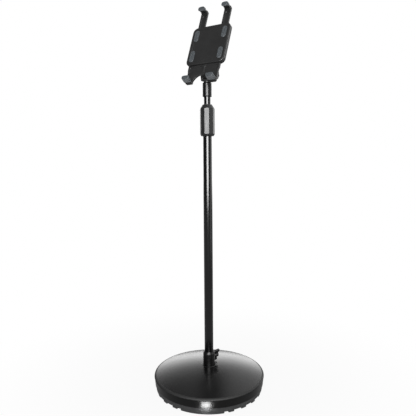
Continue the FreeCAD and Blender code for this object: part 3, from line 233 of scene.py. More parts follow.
class Nodes:
    """A node tree, and short calls that add to it."""

    def __init__(self, tree):
        self.tree = tree

    def put(self, socket, value):
        """Link another node's socket to an input, or set the input. A colour may leave out its alpha."""
        if isinstance(value, bpy.types.NodeSocket):
            self.tree.links.new(value, socket)
        elif hasattr(value, "__len__") and len(value) == 3 and len(socket.default_value) == 4:
            socket.default_value = (*value, 1)
        else:
            socket.default_value = value

    def add(self, kind, inputs=(), **settings):
        item = self.tree.nodes.new(kind)
        for key, value in settings.items():
            setattr(item, key, value)
        for key, value in dict(inputs).items():
            self.put(item.inputs[key], value)
        return item

    def span(self, value, low, high, start=0.0, end=1.0):
        """Ease from start to end while the value goes from low to high."""
        inputs = {"Value": value, "From Min": low, "From Max": high, "To Min": start, "To Max": end}
        item = self.add("ShaderNodeMapRange", inputs, interpolation_type="SMOOTHSTEP")
        return item.outputs["Result"]

    def math(self, operation, one, two=0.0):
        return self.add("ShaderNodeMath", {0: one, 1: two}, operation=operation).outputs[0]

    def mix(self, share, one, two):
        """A number between two numbers."""
        return self.add("ShaderNodeMix", {"Factor": share, 2: one, 3: two}).outputs[0]

    def dot(self, one, two):
        item = self.add("ShaderNodeVectorMath", {0: one, 1: two}, operation="DOT_PRODUCT")
        return item.outputs["Value"]

    def seen(self):
        """1 for rays from the camera, from a reflection or through glass."""
        rays = self.add("ShaderNodeLightPath").outputs
        mask = self.math("MAXIMUM", rays["Is Camera Ray"], rays["Is Glossy Ray"])
        return self.math("MAXIMUM", mask, rays["Is Transmission Ray"])


class Finish(Nodes):
    """One procedural material. The sizes of its grain are in millimetres on the piece itself."""

    def __init__(self, name):
        self.material = bpy.data.materials.new(name)
        self.material.use_nodes = True
        super().__init__(self.material.node_tree)
        self.shader = self.tree.nodes["Principled BSDF"]
        self.place = self.add("ShaderNodeTexCoord").outputs["Object"]
        self.normal = None

    def scaled(self, size, stretch=(1, 1, 1)):
        """Object coordinates in grains of the given size, drawn out by stretch."""
        scale = [1 / (size * MM * part) for part in stretch]
        return self.add("ShaderNodeMapping", {"Vector": self.place, "Scale": scale}).outputs[0]

    def noise(self, size, stretch=(1, 1, 1), detail=2.0, rough=0.5):
        inputs = {"Vector": self.scaled(size, stretch), "Scale": 1, "Detail": detail, "Roughness": rough}
        return self.add("ShaderNodeTexNoise", inputs).outputs["Fac"]

    def cells(self, size):
        inputs = {"Vector": self.scaled(size), "Scale": 1}
        return self.add("ShaderNodeTexVoronoi", inputs).outputs["Distance"]

    def rings(self, size):
        """Fine turned lines about the Z axis of the stand, as height bands."""
        inputs = {"Vector": self.scaled(size), "Scale": 1, "Distortion": 0.6, "Detail": 2}
        return self.add("ShaderNodeTexWave", inputs, bands_direction="Z").outputs["Fac"]

    def vary(self, noise, start, end):
        """From start to end over the middle of a noise, where most of it lies."""
        return self.span(noise, 0.3, 0.7, start, end)

    def blend(self, share, one, two):
        """A colour between two colours."""
        item = self.add("ShaderNodeMix", {"Factor": share}, data_type="RGBA")
        self.put(item.inputs[6], one)
        self.put(item.inputs[7], two)
        return item.outputs[2]

    def tint(self, colour, mask, amount, other):
        """Blend an amount of another colour in where the mask is 1."""
        return self.blend(self.math("MULTIPLY", mask, amount), colour, other)

    def dusty(self, colour, dust, amount):
        """Lay a little patchy dust on surfaces that look up, and pale the colour there."""
        patches = self.span(self.noise(14, detail=5, rough=0.65), 0.42, 0.75)
        return self.tint(colour, self.math("MULTIPLY", self.upward(), patches), amount, dust)

    def edge(self, size):
        """Near 1 along outer edges that are sharper than the given size."""
        soft = self.add("ShaderNodeBevel", {"Radius": size * MM}, samples=6).outputs[0]
        hard = self.add("ShaderNodeNewGeometry").outputs["Normal"]
        return self.span(self.dot(soft, hard), 0.98, 0.8)

    def z_of(self, output):
        """The Z part of the surface's own Position or Normal."""
        vector = self.add("ShaderNodeNewGeometry").outputs[output]
        return self.add("ShaderNodeSeparateXYZ", {0: vector}).outputs[2]

    def below(self, height, fade):
        """1 under a height above the floor, for the base, which stays where it is."""
        return self.span(self.z_of("Position"), (height + fade) * MM, (height - fade) * MM)

    def upward(self):
        """Near 1 where the surface looks up."""
        return self.span(self.z_of("Normal"), 0.5, 0.98)

    def downward(self):
        """Near 1 where the surface looks down."""
        return self.span(self.z_of("Normal"), -0.35, -0.85)

    def ease(self, size):
        """Round the shading over edges by the given size."""
        self.normal = self.add("ShaderNodeBevel", {"Radius": size * MM}, samples=6).outputs[0]

    def bump(self, height, depth):
        """Raise the surface's shading by a pattern, up to the given depth."""
        inputs = {"Height": height, "Distance": depth * MM, "Strength": 1.0}
        if self.normal is not None:
            inputs["Normal"] = self.normal
        self.normal = self.add("ShaderNodeBump", inputs).outputs[0]

    def made(self, colour, roughness, **sockets):
        """The material, with what else the shader's own sockets are set to."""
        self.put(self.shader.inputs["Base Color"], colour)
        self.put(self.shader.inputs["Roughness"], roughness)
        for key, value in sockets.items():
            self.put(self.shader.inputs[key.replace("_", " ")], value)
        if self.normal is not None:
            self.put(self.shader.inputs["Normal"], self.normal)
        return self.material


# Heights where the base changes its finish: the cover's rim, and the step round the tray
COVER_RIM = 38.7
TRAY_STEP = 16.0


def black_steel():
    """Gloss powder coat on the tubes: orange peel, and faint rub marks along them."""
    finish = Finish("gloss_powder_coat")
    rubs = finish.noise(1.3, (1, 1, 30), detail=4)
    patches = finish.noise(38, (1, 1, 2.5), detail=3)
    worn = finish.span(rubs, 0.55, 0.8)
    colour = finish.blend(worn, (0.0034, 0.0035, 0.0038), (0.0075, 0.0075, 0.008))
    haze = finish.span(rubs, 0.5, 0.8, 0, 0.05)
    roughness = finish.math("ADD", finish.vary(patches, 0.17, 0.21), haze)
    finish.bump(finish.noise(1.6), 0.004)
    finish.bump(finish.cells(0.35), 0.001)
    return finish.made(colour, roughness)


def base_cover_plastic():
    """Satin black moulded cover: fine grain, faint scratches, a little dust, and a duller rim."""
    finish = Finish("satin_cover")
    fine = finish.noise(0.5, detail=3)
    large = finish.noise(46, detail=4, rough=0.6)
    scratches = finish.span(finish.noise(2.2, (9, 1, 1), detail=3), 0.66, 0.8)
    colour = finish.blend(large, (0.0045, 0.0045, 0.0048), (0.007, 0.007, 0.0073))
    colour = finish.tint(colour, scratches, 0.25, (0.022, 0.022, 0.023))
    colour = finish.dusty(colour, (0.09, 0.085, 0.078), 0.025)
    roughness = finish.math("ADD", finish.vary(large, 0.19, 0.22), finish.vary(fine, 0, 0.03))
    rim = finish.math("MULTIPLY", finish.below(COVER_RIM, 0.2), 0.45)
    roughness = finish.math("ADD", roughness, rim)
    finish.ease(0.4)
    finish.bump(fine, 0.006)
    finish.bump(finish.noise(9, detail=1), 0.02)
    return finish.made(colour, roughness)


def base_tray_plastic():
    """Grained plastic of the tray: black above its step, and paler, duller and scuffed below it."""
    finish = Finish("grained_tray")
    grain = finish.cells(0.55)
    large = finish.noise(24, detail=4)
    low = finish.below(TRAY_STEP, 0.3)
    colour = finish.blend(large, (0.004, 0.004, 0.0042), (0.0065, 0.0065, 0.0067))
    pale = finish.blend(large, (0.075, 0.076, 0.078), (0.1, 0.101, 0.103))
    colour = finish.blend(low, colour, pale)
    scuffs = finish.span(finish.noise(3.5, (1, 1, 0.3), detail=5), 0.62, 0.76)
    colour = finish.tint(colour, scuffs, 0.3, (0.05, 0.05, 0.05))
    colour = finish.tint(colour, finish.edge(0.7), 0.4, (0.04, 0.04, 0.041))
    finish.ease(0.35)
    finish.bump(finish.span(grain, 0.1, 0.7), 0.012)
    roughness = finish.math("ADD", finish.vary(large, 0.3, 0.36), finish.math("MULTIPLY", scuffs, 0.1))
    roughness = finish.math("ADD", roughness, finish.math("MULTIPLY", low, 0.2))
    return finish.made(colour, roughness, Specular_IOR_Level=0.25)


def cast_weight():
    """Sand-cast iron weight with a thin black wash and rust in its pores."""
    finish = Finish("cast_iron")
    sand = finish.noise(0.9, detail=5, rough=0.7)
    rust = finish.span(finish.noise(9, detail=6, rough=0.7), 0.55, 0.7)
    colour = finish.blend(sand, (0.03, 0.03, 0.031), (0.06, 0.058, 0.055))
    colour = finish.tint(colour, rust, 0.6, (0.13, 0.055, 0.025))
    finish.ease(0.6)
    finish.bump(sand, 0.12)
    return finish.made(colour, finish.span(rust, 0, 1, 0.55, 0.85), Metallic=0.3)


def socket_metal():
    """Turned black metal of the collar and the sleeve: fine lines about the pole, paler at worn edges."""
    finish = Finish("turned_black_metal")
    lines = finish.rings(0.16)
    streaks = finish.noise(0.25, (60, 60, 1), detail=3)
    patches = finish.noise(11, detail=4)
    colour = finish.blend(patches, (0.0032, 0.0032, 0.0035), (0.006, 0.006, 0.0063))
    colour = finish.tint(colour, finish.edge(0.5), 0.4, (0.06, 0.06, 0.062))
    dull = finish.span(streaks, 0.4, 0.7, 0, 0.06)
    roughness = finish.math("ADD", finish.vary(patches, 0.26, 0.33), dull)
    finish.ease(0.35)
    finish.bump(lines, 0.002)
    return finish.made(colour, roughness, Specular_IOR_Level=0.35)


def plated_steel():
    """Zinc plate with a faint warm and blue haze."""
    finish = Finish("zinc_plate")
    haze = finish.noise(3.5, detail=3)
    colour = finish.blend(haze, (0.55, 0.56, 0.60), (0.66, 0.63, 0.55))
    finish.ease(0.25)
    finish.bump(finish.noise(0.4, detail=3), 0.006)
    return finish.made(colour, finish.vary(finish.noise(0.8, detail=4), 0.24, 0.42), Metallic=1.0)


def black_screw():
    """Black oxide fasteners, rubbed to steel at the edges."""
    finish = Finish("black_oxide")
    mottle = finish.noise(0.9, detail=4)
    colour = finish.blend(mottle, (0.022, 0.023, 0.026), (0.04, 0.04, 0.043))
    colour = finish.tint(colour, finish.edge(0.25), 0.6, (0.25, 0.25, 0.26))
    finish.ease(0.2)
    finish.bump(mottle, 0.01)
    return finish.made(colour, finish.vary(mottle, 0.32, 0.46), Metallic=0.75)


def clutch_plastic():
    """Dark grey glass-filled nylon of the clutch: fibre haze, fine grain, palm polish on its edges."""
    finish = Finish("glass_filled_nylon")
    fibres = finish.noise(0.35, (1, 1, 5), detail=4, rough=0.7)
    flow = finish.noise(12, (1, 1, 3), detail=4)
    worn = finish.edge(0.9)
    colour = finish.blend(flow, (0.013, 0.0133, 0.0138), (0.022, 0.0224, 0.023))
    colour = finish.tint(colour, finish.span(fibres, 0.62, 0.8), 0.3, (0.07, 0.07, 0.07))
    colour = finish.tint(colour, worn, 0.45, (0.06, 0.06, 0.061))
    finish.ease(0.3)
    finish.bump(fibres, 0.012)
    polish = finish.math("MULTIPLY", worn, 0.08)
    return finish.made(colour, finish.math("SUBTRACT", finish.vary(flow, 0.36, 0.44), polish))


def collet_plastic():
    """Natural white acetal of the clutch's collet, with flow marks and a fine grain."""
    finish = Finish("natural_acetal")
    flow = finish.noise(6, detail=4)
    finish.ease(0.25)
    finish.bump(finish.noise(0.5, detail=3), 0.008)
    colour = finish.blend(flow, (0.56, 0.56, 0.53), (0.63, 0.63, 0.6))
    return finish.made(colour, finish.vary(flow, 0.34, 0.44))


def nylon():
    """Black nylon washers."""
    finish = Finish("black_nylon")
    cloud = finish.noise(3, detail=3)
    finish.ease(0.2)
    finish.bump(finish.noise(0.6), 0.006)
    colour = finish.blend(cloud, (0.02, 0.02, 0.02), (0.034, 0.034, 0.034))
    return finish.made(colour, finish.vary(cloud, 0.35, 0.48))


def brass():
    """Turned brass, a little tarnished."""
    finish = Finish("turned_brass")
    tarnish = finish.span(finish.noise(2.5, detail=4), 0.4, 0.7)
    finish.ease(0.2)
    finish.bump(finish.noise(0.2, (6, 1, 1)), 0.004)
    colour = finish.blend(tarnish, (0.66, 0.45, 0.17), (0.36, 0.22, 0.08))
    return finish.made(colour, finish.span(tarnish, 0, 1, 0.24, 0.45), Metallic=1.0)


def cast_arm():
    """Die-cast arm and fork under a fine black texture coat."""
    finish = Finish("texture_coat")
    grit = finish.cells(0.42)
    large = finish.noise(15, detail=4)
    rubbed = finish.span(finish.noise(2.5, detail=4), 0.35, 0.7)
    worn = finish.math("MULTIPLY", finish.edge(0.7), rubbed)
    colour = finish.blend(large, (0.013, 0.013, 0.0135), (0.02, 0.02, 0.0205))
    colour = finish.tint(colour, worn, 0.6, (0.11, 0.11, 0.112))
    finish.ease(0.4)
    finish.bump(finish.span(grit, 0.1, 0.65), 0.03)
    finish.bump(finish.noise(5), 0.03)
    return finish.made(colour, finish.vary(large, 0.42, 0.52))


def holder_plastic():
    """Spark-textured black nylon of the holder and its jaws."""
    finish = Finish("spark_texture")
    spark = finish.noise(0.42, detail=5, rough=0.72)
    flow = finish.noise(20, detail=4)
    rubbed = finish.span(finish.noise(3, detail=4), 0.4, 0.7)
    worn = finish.math("MULTIPLY", finish.edge(0.6), rubbed)
    colour = finish.blend(flow, (0.0135, 0.0137, 0.014), (0.0165, 0.0167, 0.017))
    colour = finish.tint(colour, worn, 0.5, (0.055, 0.055, 0.056))
    colour = finish.dusty(colour, (0.1, 0.095, 0.09), 0.03)
    finish.ease(0.3)
    finish.bump(spark, 0.03)
    return finish.made(colour, finish.vary(flow, 0.42, 0.47))


def knob_plastic():
    """Hard black knob plastic, satin and hand-polished on its lobes."""
    finish = Finish("hand_polished_plastic")
    flow = finish.noise(7, detail=4)
    worn = finish.edge(1.2)
    colour = finish.blend(flow, (0.0095, 0.0095, 0.01), (0.015, 0.015, 0.0155))
    colour = finish.tint(colour, worn, 0.35, (0.035, 0.035, 0.036))
    finish.ease(0.3)
    finish.bump(finish.noise(0.45, detail=3), 0.01)
    polish = finish.math("MULTIPLY", worn, 0.1)
    return finish.made(colour, finish.math("SUBTRACT", finish.vary(flow, 0.34, 0.42), polish))


def grey_rubber():
    """Slate grey soft rubber: matt, with a soft bloom and a fine grain. Its paler edges are a painted rim
    highlight, and its paler undersides are painted light from the floor.
    """
    finish = Finish("slate_rubber")
    bloom = finish.noise(7, detail=3)
    colour = finish.blend(bloom, (0.078, 0.094, 0.106), (0.104, 0.122, 0.136))
    # Painted highlight: the paler colour along the edges stands in for rim light from the floor and backdrop
    colour = finish.tint(colour, finish.edge(0.8), 0.4, (0.19, 0.21, 0.225))
    # Painted light: surfaces that look down are paled to stand in for light thrown up from the white floor
    colour = finish.tint(colour, finish.downward(), 0.6, (0.3, 0.32, 0.335))
    finish.bump(finish.noise(0.3, detail=3), 0.005)
    roughness = finish.vary(bloom, 0.5, 0.58)
    return finish.made(colour, roughness, Sheen_Weight=0.15, Sheen_Roughness=0.5)


def foot_rubber():
    """Black rubber of the floor pads."""
    finish = Finish("floor_rubber")
    bloom = finish.noise(6, detail=5)
    finish.bump(finish.noise(0.35, detail=4), 0.02)
    colour = finish.blend(bloom, (0.018, 0.018, 0.018), (0.034, 0.033, 0.032))
    return finish.made(colour, finish.vary(bloom, 0.62, 0.78))


# Each finish stands for the slot of its own name in the record
finishes = {
    make.__name__: make()
    for make in (
        base_cover_plastic,
        base_tray_plastic,
        cast_weight,
        black_steel,
        socket_metal,
        plated_steel,
        black_screw,
        clutch_plastic,
        collet_plastic,
        nylon,
        brass,
        cast_arm,
        holder_plastic,
        knob_plastic,
        grey_rubber,
        foot_rubber,
    )
}
slot_of = {name: item.data.materials[0].name for name, item in nodes.items()}
for name, item in nodes.items():
    item.material_slots[0].material = finishes[slot_of[name]]


def place_piece(name, mesh, node):
    """Show a mesh in place of a CAD node: same body, same slot."""
    item = bpy.data.objects.new(name, mesh)
    bpy.context.scene.collection.objects.link(item)
    mesh.materials.clear()
    mesh.materials.append(finishes[slot_of[node]])
    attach(item, body_of[node])
    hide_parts(node)
    return item


# Pole: the two tubes

def tube(name, node, outer, wall):
    """A tube with rounded edges, as long as its CAD node."""
    inner = outer - wall
    edge = wall / 4
    low, high = reach_of(node)
    corners = [(inner, low, edge), (outer, low, edge), (outer, high, edge), (inner, high, edge)]
    place_piece(name, lathe(name, rounded(corners, steps=3)), node)


tube("pole_lower", "lower_tube", outer=10.65, wall=1.2)
tube("pole_upper", "upper_tube", outer=7.95, wall=1.1)


# The clutch's grip: facets with rounded corners, and a cone over them. Rows of its profile at
# PAST_FACETS leave the facets whole, and rows under ROUND_BELOW are round. The cone stops at its
# CONE_SHARE, where the round of the rim starts.

FACETS = 10
FACET_HEADING = math.radians(-47.7)
CORNER_POWER = 130
GRIP_STEPS = 360
GRIP_RADIUS = 17.4
PAST_FACETS = 18.0
ROUND_BELOW = 14.0
FOOT_BORE = 13.65
CONE_RADIUS = 10.9
CONE_HEIGHT = 10.2
CONE_STEPS = 14
CONE_SHARE = 0.93
GRIP_LOW, GRIP_TOP = reach_of("clutch_grip")
CONE_LOW = GRIP_TOP - CONE_HEIGHT


def grip_radius(radius, angle):
    """The facets, kept within the profile's own radius. The bore and the top of the cone stay round."""
    if radius < ROUND_BELOW:
        return radius
    flat = GRIP_RADIUS * math.cos(math.pi / FACETS)
    turn = math.tau / FACETS
    total = 0
    for facet in range(FACETS):
        lean = math.cos(angle - FACET_HEADING - turn * (facet + 0.5))
        total += max(0, lean) ** CORNER_POWER
    faceted = flat / total ** (1 / CORNER_POWER)
    limit = radius * 1.003
    return (faceted**-CORNER_POWER + limit**-CORNER_POWER) ** (-1 / CORNER_POWER)


def grip_profile():
    """Round the grip from its foot: the side, the cone, the rim and down the stepped bore."""
    foot = [(FOOT_BORE, 0), (16.6, 0), (16.9, 0.15), (17.2, 0.5), (17.5, 0.9)]
    side = [(PAST_FACETS, 1.6), (PAST_FACETS, 22.9), (PAST_FACETS, 42.9)]
    rows = [(radius, GRIP_LOW + rise) for radius, rise in foot + side]
    shoulder = [(PAST_FACETS, -1), (17.6, -0.3), (17.3, 0.25)]
    rows += [(radius, CONE_LOW + rise) for radius, rise in shoulder]
    for row in range(1, CONE_STEPS + 1):
        share = row / CONE_STEPS * CONE_SHARE
        rows.append((GRIP_RADIUS + (CONE_RADIUS - GRIP_RADIUS) * share, CONE_LOW + CONE_HEIGHT * share))
    rim = [(11.2, 0.35), (10.85, 0.08), (10.4, 0), (8.8, 0), (8.4, 0.2), (8.3, 0.5)]
    bore = [(8.3, 26.0), (9.9, 27.0), (12.5, 42.0), (12.5, 43.9), (FOOT_BORE, 43.9)]
    return rows + [(radius, GRIP_TOP - drop) for radius, drop in rim + bore]


grip_mesh = lathe(
    "clutch_grip_dressed", grip_profile(), around=grip_radius, count=GRIP_STEPS, sharp=28
)
place_piece("clutch_grip_dressed", grip_mesh, "clutch_grip")


# Knobs

SCALLOP_POWER = 2.2
LOBE_STEPS = 36
KNOB_FACE_DROP = 0.2


def lobed(lobes, depth, start, end):
    """Scallops between a knob's lobes, which deepen from one radius to the other."""
    def around(radius, angle):
        if radius < start:
            return radius
        scallop = (0.5 + 0.5 * math.cos(angle * lobes)) ** SCALLOP_POWER
        return radius - depth * scallop * min(1, (radius - start) / (end - start))
    return around


def knob_profile(radius, flare, foot, top, rounds, bore, blind, dish):
    """Round a knob from its bore: the flared foot, the side, the rim and the dished face.

    rounds are those of the foot, the flare and the rim. dish is radii with their drops below the
    rim, and blind is where the bore ends.
    """
    foot_round, flare_round, rim_round = rounds
    face = top - KNOB_FACE_DROP
    corners = [
        (radius - flare, foot, foot_round),
        (radius, foot + flare, flare_round),
        (radius, top, rim_round),
        (0, face, 0),
    ]
    rows = [(bore, foot)] + rounded(corners, steps=6)[:-1]
    rows += [(ring, top - drop) for ring, drop in dish]
    return rows + [(0, face), (0, blind), (bore, blind)]


def knob(node, place, profile, lobes, scallops):
    """A turned knob with its scallops, given as their depth and where they start and end."""
    name = node + "_dressed"
    mesh = lathe(name, profile, place, lobed(lobes, *scallops), lobes * LOBE_STEPS, sharp=50)
    place_piece(name, mesh, node)


tilt_profile = knob_profile(
    radius=11.5,
    flare=3.0,
    foot=13.1,
    top=27.1,
    rounds=(0.5, 1.2, 2.0),
    bore=4.6,
    blind=22.2,
    dish=[(7.6, 0.05), (7.2, 0.4), (6.8, 0.5), (3.0, 0.25)],
)
knob("tilt_knob", knob_place, tilt_profile, lobes=7, scallops=(1.76, 7.8, 9.4))

lock_profile = knob_profile(
    radius=9.0,
    flare=2.0,
    foot=0.7,
    top=9.7,
    rounds=(0.4, 1.0, 1.5),
    bore=2.5,
    blind=7.7,
    dish=[(6.0, 0.04), (5.7, 0.35), (5.4, 0.4), (2.5, 0.22)],
)
knob("lock_knob", lock_place, lock_profile, lobes=6, scallops=(1.4, 6.3, 7.6))

wing_mesh = moulded("wing_screw", voxel=0.32, rounds=4, swell=0.45)
place_piece("wing_screw_dressed", wing_mesh, "wing_screw")


# The cap over the head's pivot: a flat face inside a round rim

CAP_RADIUS = 14.0
CAP_WALL = 1.6
CAP_FOOT = 33.3
CAP_FACE = 41.3

cap_rows = rounded(
    [
        (CAP_RADIUS - CAP_WALL, CAP_FOOT, 0.2),
        (CAP_RADIUS, CAP_FOOT, 0.3),
        (CAP_RADIUS, CAP_FACE, 2.8),
        (0, CAP_FACE, 0),
        (0, CAP_FACE - CAP_WALL, 0),
        (CAP_RADIUS - CAP_WALL, CAP_FACE - CAP_WALL, 0.5),
    ],
    steps=6,
)
place_piece("hub_cap_dressed", lathe("hub_cap_dressed", cap_rows, head_rear), "hub_cap")


# Rubber boots on the four hooks, and the hard black arms that carry them. A boot's paddle is how
# much its outer face falls away from the middle to the sides, and its heel keeps less of that.

HOOK_ACROSS = 31.5
HOOK_EDGE = 1.3
EDGE_STEPS = 5
WIDTH_STEPS = 14
PADDLE_POWER = 2.6
PADDLE_HEEL = 0.25
BOOT_REAR = 3.6
LOWER_HEEL = 9.2
BOOT_OUTER = 99.95
BOOT_INNER = 93.0
LIP_FRONT = -4.8
LIP_BACK = -1.4
LIP_END = 88.85
LIP_END_CURVE = 2.0
SHROUD_REAR = 10.2
SHROUD_DROP = 0.55
SHROUD_INSET = 0.6


def boot_section(side, share, inset, paddle):
    """One slice across a boot, as points of rear and up. share runs from 0 in the middle to 1 at a side."""
    curve = paddle * share**PADDLE_POWER
    outer = BOOT_OUTER - inset - curve
    outer_rear = BOOT_OUTER - inset - PADDLE_HEEL * curve
    end = LIP_END + inset + LIP_END_CURVE * share**3
    heel = BOOT_REAR if side > 0 else LOWER_HEEL
    corners = [
        (BOOT_REAR, BOOT_INNER + inset, 0.3),
        (heel, outer_rear, 0.5),
        (LIP_FRONT + inset, outer, 1.9),
        (LIP_FRONT + inset, end, 1.1),
        (LIP_BACK - inset, end, 1.1),
        (LIP_BACK - inset, BOOT_INNER + inset, 0.4),
    ]
    return [(rear, side * up) for rear, up in rounded(corners)]


def shroud_section(side, share, inset, paddle):
    """One slice across the arm, which reaches a little into the boot from behind."""
    outer = BOOT_OUTER - SHROUD_DROP - inset - PADDLE_HEEL * paddle * share**PADDLE_POWER
    front = BOOT_REAR - 1
    corners = [
        (SHROUD_REAR, BOOT_INNER + inset, 0.3),
        (SHROUD_REAR, outer, 0.8),
        (front, outer, 0.3),
        (front, BOOT_INNER + inset, 0.3),
    ]
    return [(rear, side * up) for rear, up in rounded(corners)]


def hook_form(name, side, middle, width, paddle, section_at):
    """A boot or an arm, skinned over slices from one side of its hook to the other."""
    half = width / 2
    ease = [HOOK_EDGE * (1 - math.cos(math.pi / 2 * step / EDGE_STEPS)) for step in range(EDGE_STEPS + 1)]
    flat = width - 2 * HOOK_EDGE
    offsets = [-half + near for near in ease]
    offsets += [-half + HOOK_EDGE + flat * step / WIDTH_STEPS for step in range(1, WIDTH_STEPS)]
    offsets += [half - near for near in reversed(ease)]
    slices = []
    for offset in offsets:
        near = max(0, HOOK_EDGE - (half - abs(offset)))
        inset = HOOK_EDGE - math.sqrt(max(0, HOOK_EDGE**2 - near**2))
        section = section_at(side, abs(offset) / half, inset, paddle)
        slices.append([on_head(middle + offset, rear, up) for rear, up in section])
    return skin(name, slices, closed=False, sharp=40)


def hook_pair(name, node, side, width, paddle, section_at):
    """One piece with the same form on both hooks of a jaw."""
    pair = [
        hook_form(name, side, middle, width, paddle, section_at)
        for middle in (-HOOK_ACROSS, HOOK_ACROSS)
    ]
    return place_piece(name, joined(name, pair), node)


def boots(node, side, width, paddle):
    """The boots of a jaw, with a shelf for the device's edge and a lip over its front, and their arms."""
    hook_pair(node + "_dressed", node, side, width, paddle, boot_section)
    arm_name = node.replace("boots", "shrouds") + "_dressed"
    arms = hook_pair(arm_name, node, side, width - 2 * SHROUD_INSET, paddle, shroud_section)
    arms.data.materials[0] = finishes["holder_plastic"]


boots("upper_boots", side=1, width=16, paddle=2.6)
boots("lower_boots", side=-1, width=20, paddle=4.4)


# Rubber pads behind the device, each with two oval grooves

PAD_ACROSS = 37
PAD_UP = 28
PAD_WIDTH = 12
PAD_HEIGHT = 30
PAD_BACK = 11.45
PAD_FACE = 9.75
PAD_GROOVE = 10.1


def pad_rows():
    """How far in from its side, and how far to the rear, each ring of a pad lies."""
    rows = [(0, PAD_BACK), (0, 10.3), (0.2, 9.95), (0.6, PAD_FACE)]
    for start in (1.5, 3.2):
        rows += [(start, PAD_FACE), (start + 0.2, PAD_GROOVE)]
        rows += [(start + 0.7, PAD_GROOVE), (start + 0.9, PAD_FACE)]
    return rows


def back_pad(name, across, up):
    """An oval pad, skinned over its rings from the back to the face."""
    rings = []
    for inset, rear in pad_rows():
        half = PAD_WIDTH / 2 - inset
        tall = PAD_HEIGHT / 2 - inset
        corners = [(-half, -tall), (half, -tall), (half, tall), (-half, tall)]
        outline = rounded([(x, y, half * 0.98) for x, y in corners], steps=8)
        rings.append([on_head(across + x, rear, up + y) for x, y in outline])
    return skin(name, rings, closed=False, sharp=50)


pads = [
    back_pad("pad", across, up) for across in (-PAD_ACROSS, PAD_ACROSS) for up in (-PAD_UP, PAD_UP)
]
place_piece("back_pads_dressed", joined("back_pads_dressed", pads), "back_pads")


# Floor pads: three arcs with two grooves in their soles

FOOT_COUNT = 3
FOOT_HEADING = -67.2
FOOT_ANGLE = 45
FOOT_SIDE_INSET = 1.2
FOOT_INSET_RADIUS = 124
FOOT_MIDDLE = 123.4
FOOT_STEPS = 32


def foot_section():
    """Across a pad's arc, as radius and height: the same inwards and outwards of its middle."""
    half = [(3.3, 1.2), (3.3, 0.35), (3.1, 0.08), (2.7, 0), (1.8, 0), (1.6, 0.45), (1.1, 0.45), (0.9, 0)]
    section = [(FOOT_MIDDLE - out, height) for out, height in half]
    return section + [(FOOT_MIDDLE + out, height) for out, height in reversed(half)]


def foot_pad(name, heading):
    """One pad, swept along its arc about the pole."""
    reach = math.radians(FOOT_ANGLE / 2) - FOOT_SIDE_INSET / FOOT_INSET_RADIUS
    rings = []
    for step in range(FOOT_STEPS + 1):
        angle = math.radians(heading) + reach * (2 * step / FOOT_STEPS - 1)
        rings.append([ring_point(radius, angle, height) for radius, height in foot_section()])
    return skin(name, rings, closed=False, sharp=50)


feet = [foot_pad("foot", FOOT_HEADING + 360 / FOOT_COUNT * index) for index in range(FOOT_COUNT)]
place_piece("foot_pads_dressed", joined("foot_pads_dressed", feet), "foot_pads")


# Moulded and cast pieces whose shape is the CAD's, with their edges rounded

for name, width in {
    "upper_jaw": 0.5,
    "lower_jaw": 0.5,
    "holder_front": 0.35,
    "holder_rear": 0.35,
    "tilt_arm": 0.7,
    "swivel_clevis": 0.5,
}.items():
    place_piece(name + "_dressed", bevelled(name, width), name)


# Floor: matt under the base, nearly white just outside it, and all white further out

FLOOR_HALF = 30
FLOOR_HEIGHT = -0.0002
UNDER_BASE = 0.116
BESIDE_BASE = 0.122
FAR_FLOOR = 0.7
BESIDE_WHITE = 0.93
MIRRORED_WHITE = 0.4


def plane(name, half, height):
    """A level square of one face."""
    work = bmesh.new()
    corners = [(-half, -half), (half, -half), (half, half), (-half, half)]
    work.faces.new([work.verts.new((x, y, height)) for x, y in corners])
    mesh = bpy.data.meshes.new(name)
    work.to_mesh(mesh)
    work.free()
    item = bpy.data.objects.new(name, mesh)
    bpy.context.scene.collection.objects.link(item)
    return item


def floor_finish():
    """Matt white floor that whitens into the backdrop with distance, for the rays that see it."""
    finish = Finish("pale_floor")
    finish.tree.nodes.remove(finish.shader)
    far = finish.add("ShaderNodeVectorMath", {0: finish.place}, operation="LENGTH").outputs["Value"]
    beside = finish.span(far, UNDER_BASE, BESIDE_BASE, 0.0, BESIDE_WHITE)
    beyond = finish.span(far, BESIDE_BASE, FAR_FLOOR, 0.0, 1 - BESIDE_WHITE)
    share = finish.math("MULTIPLY", finish.math("ADD", beside, beyond), finish.seen())
    matt = finish.add("ShaderNodeBsdfDiffuse", {"Color": (0.86, 0.86, 0.86)})
    camera_ray = finish.add("ShaderNodeLightPath").outputs["Is Camera Ray"]
    strength = finish.mix(camera_ray, MIRRORED_WHITE, 1.0)
    glow = finish.add("ShaderNodeEmission", {"Color": (1, 1, 1), "Strength": strength})
    mixed = finish.add("ShaderNodeMixShader", {0: share, 1: matt.outputs[0], 2: glow.outputs[0]})
    output = finish.tree.nodes["Material Output"]
    finish.put(output.inputs["Surface"], mixed.outputs[0])
    return finish.material


floor = plane("floor", FLOOR_HALF, FLOOR_HEIGHT)
floor.data.materials.append(floor_finish())


# Camera: the photograph's place and lens

CAMERA_AZIMUTH = 30.3
CAMERA_REACH = 1.04
CAMERA_HEIGHT = 0.536
CAMERA_PITCH = math.radians(5.1)
CAMERA_ROLL = math.radians(-0.4)
FOCAL_PIXELS = 437
FRAME_PIXELS = 416
SENSOR = 36

camera_data = bpy.data.cameras.new("camera")
camera_data.sensor_width = SENSOR
camera_data.lens = FOCAL_PIXELS / FRAME_PIXELS * SENSOR
camera_data.clip_start = 0.01
camera_data.clip_end = 100
camera = bpy.data.objects.new("camera", camera_data)
bpy.context.scene.collection.objects.link(camera)
camera.rotation_mode = "QUATERNION"
camera.location = about_pole(CAMERA_AZIMUTH, CAMERA_REACH, CAMERA_HEIGHT)
look = Vector(about_pole(CAMERA_AZIMUTH, -1, -math.tan(CAMERA_PITCH)))
roll = Matrix.Rotation(CAMERA_ROLL, 3, "Z").to_quaternion()
camera.rotation_quaternion = look.to_track_quat("-Z", "Y") @ roll
bpy.context.scene.camera = camera


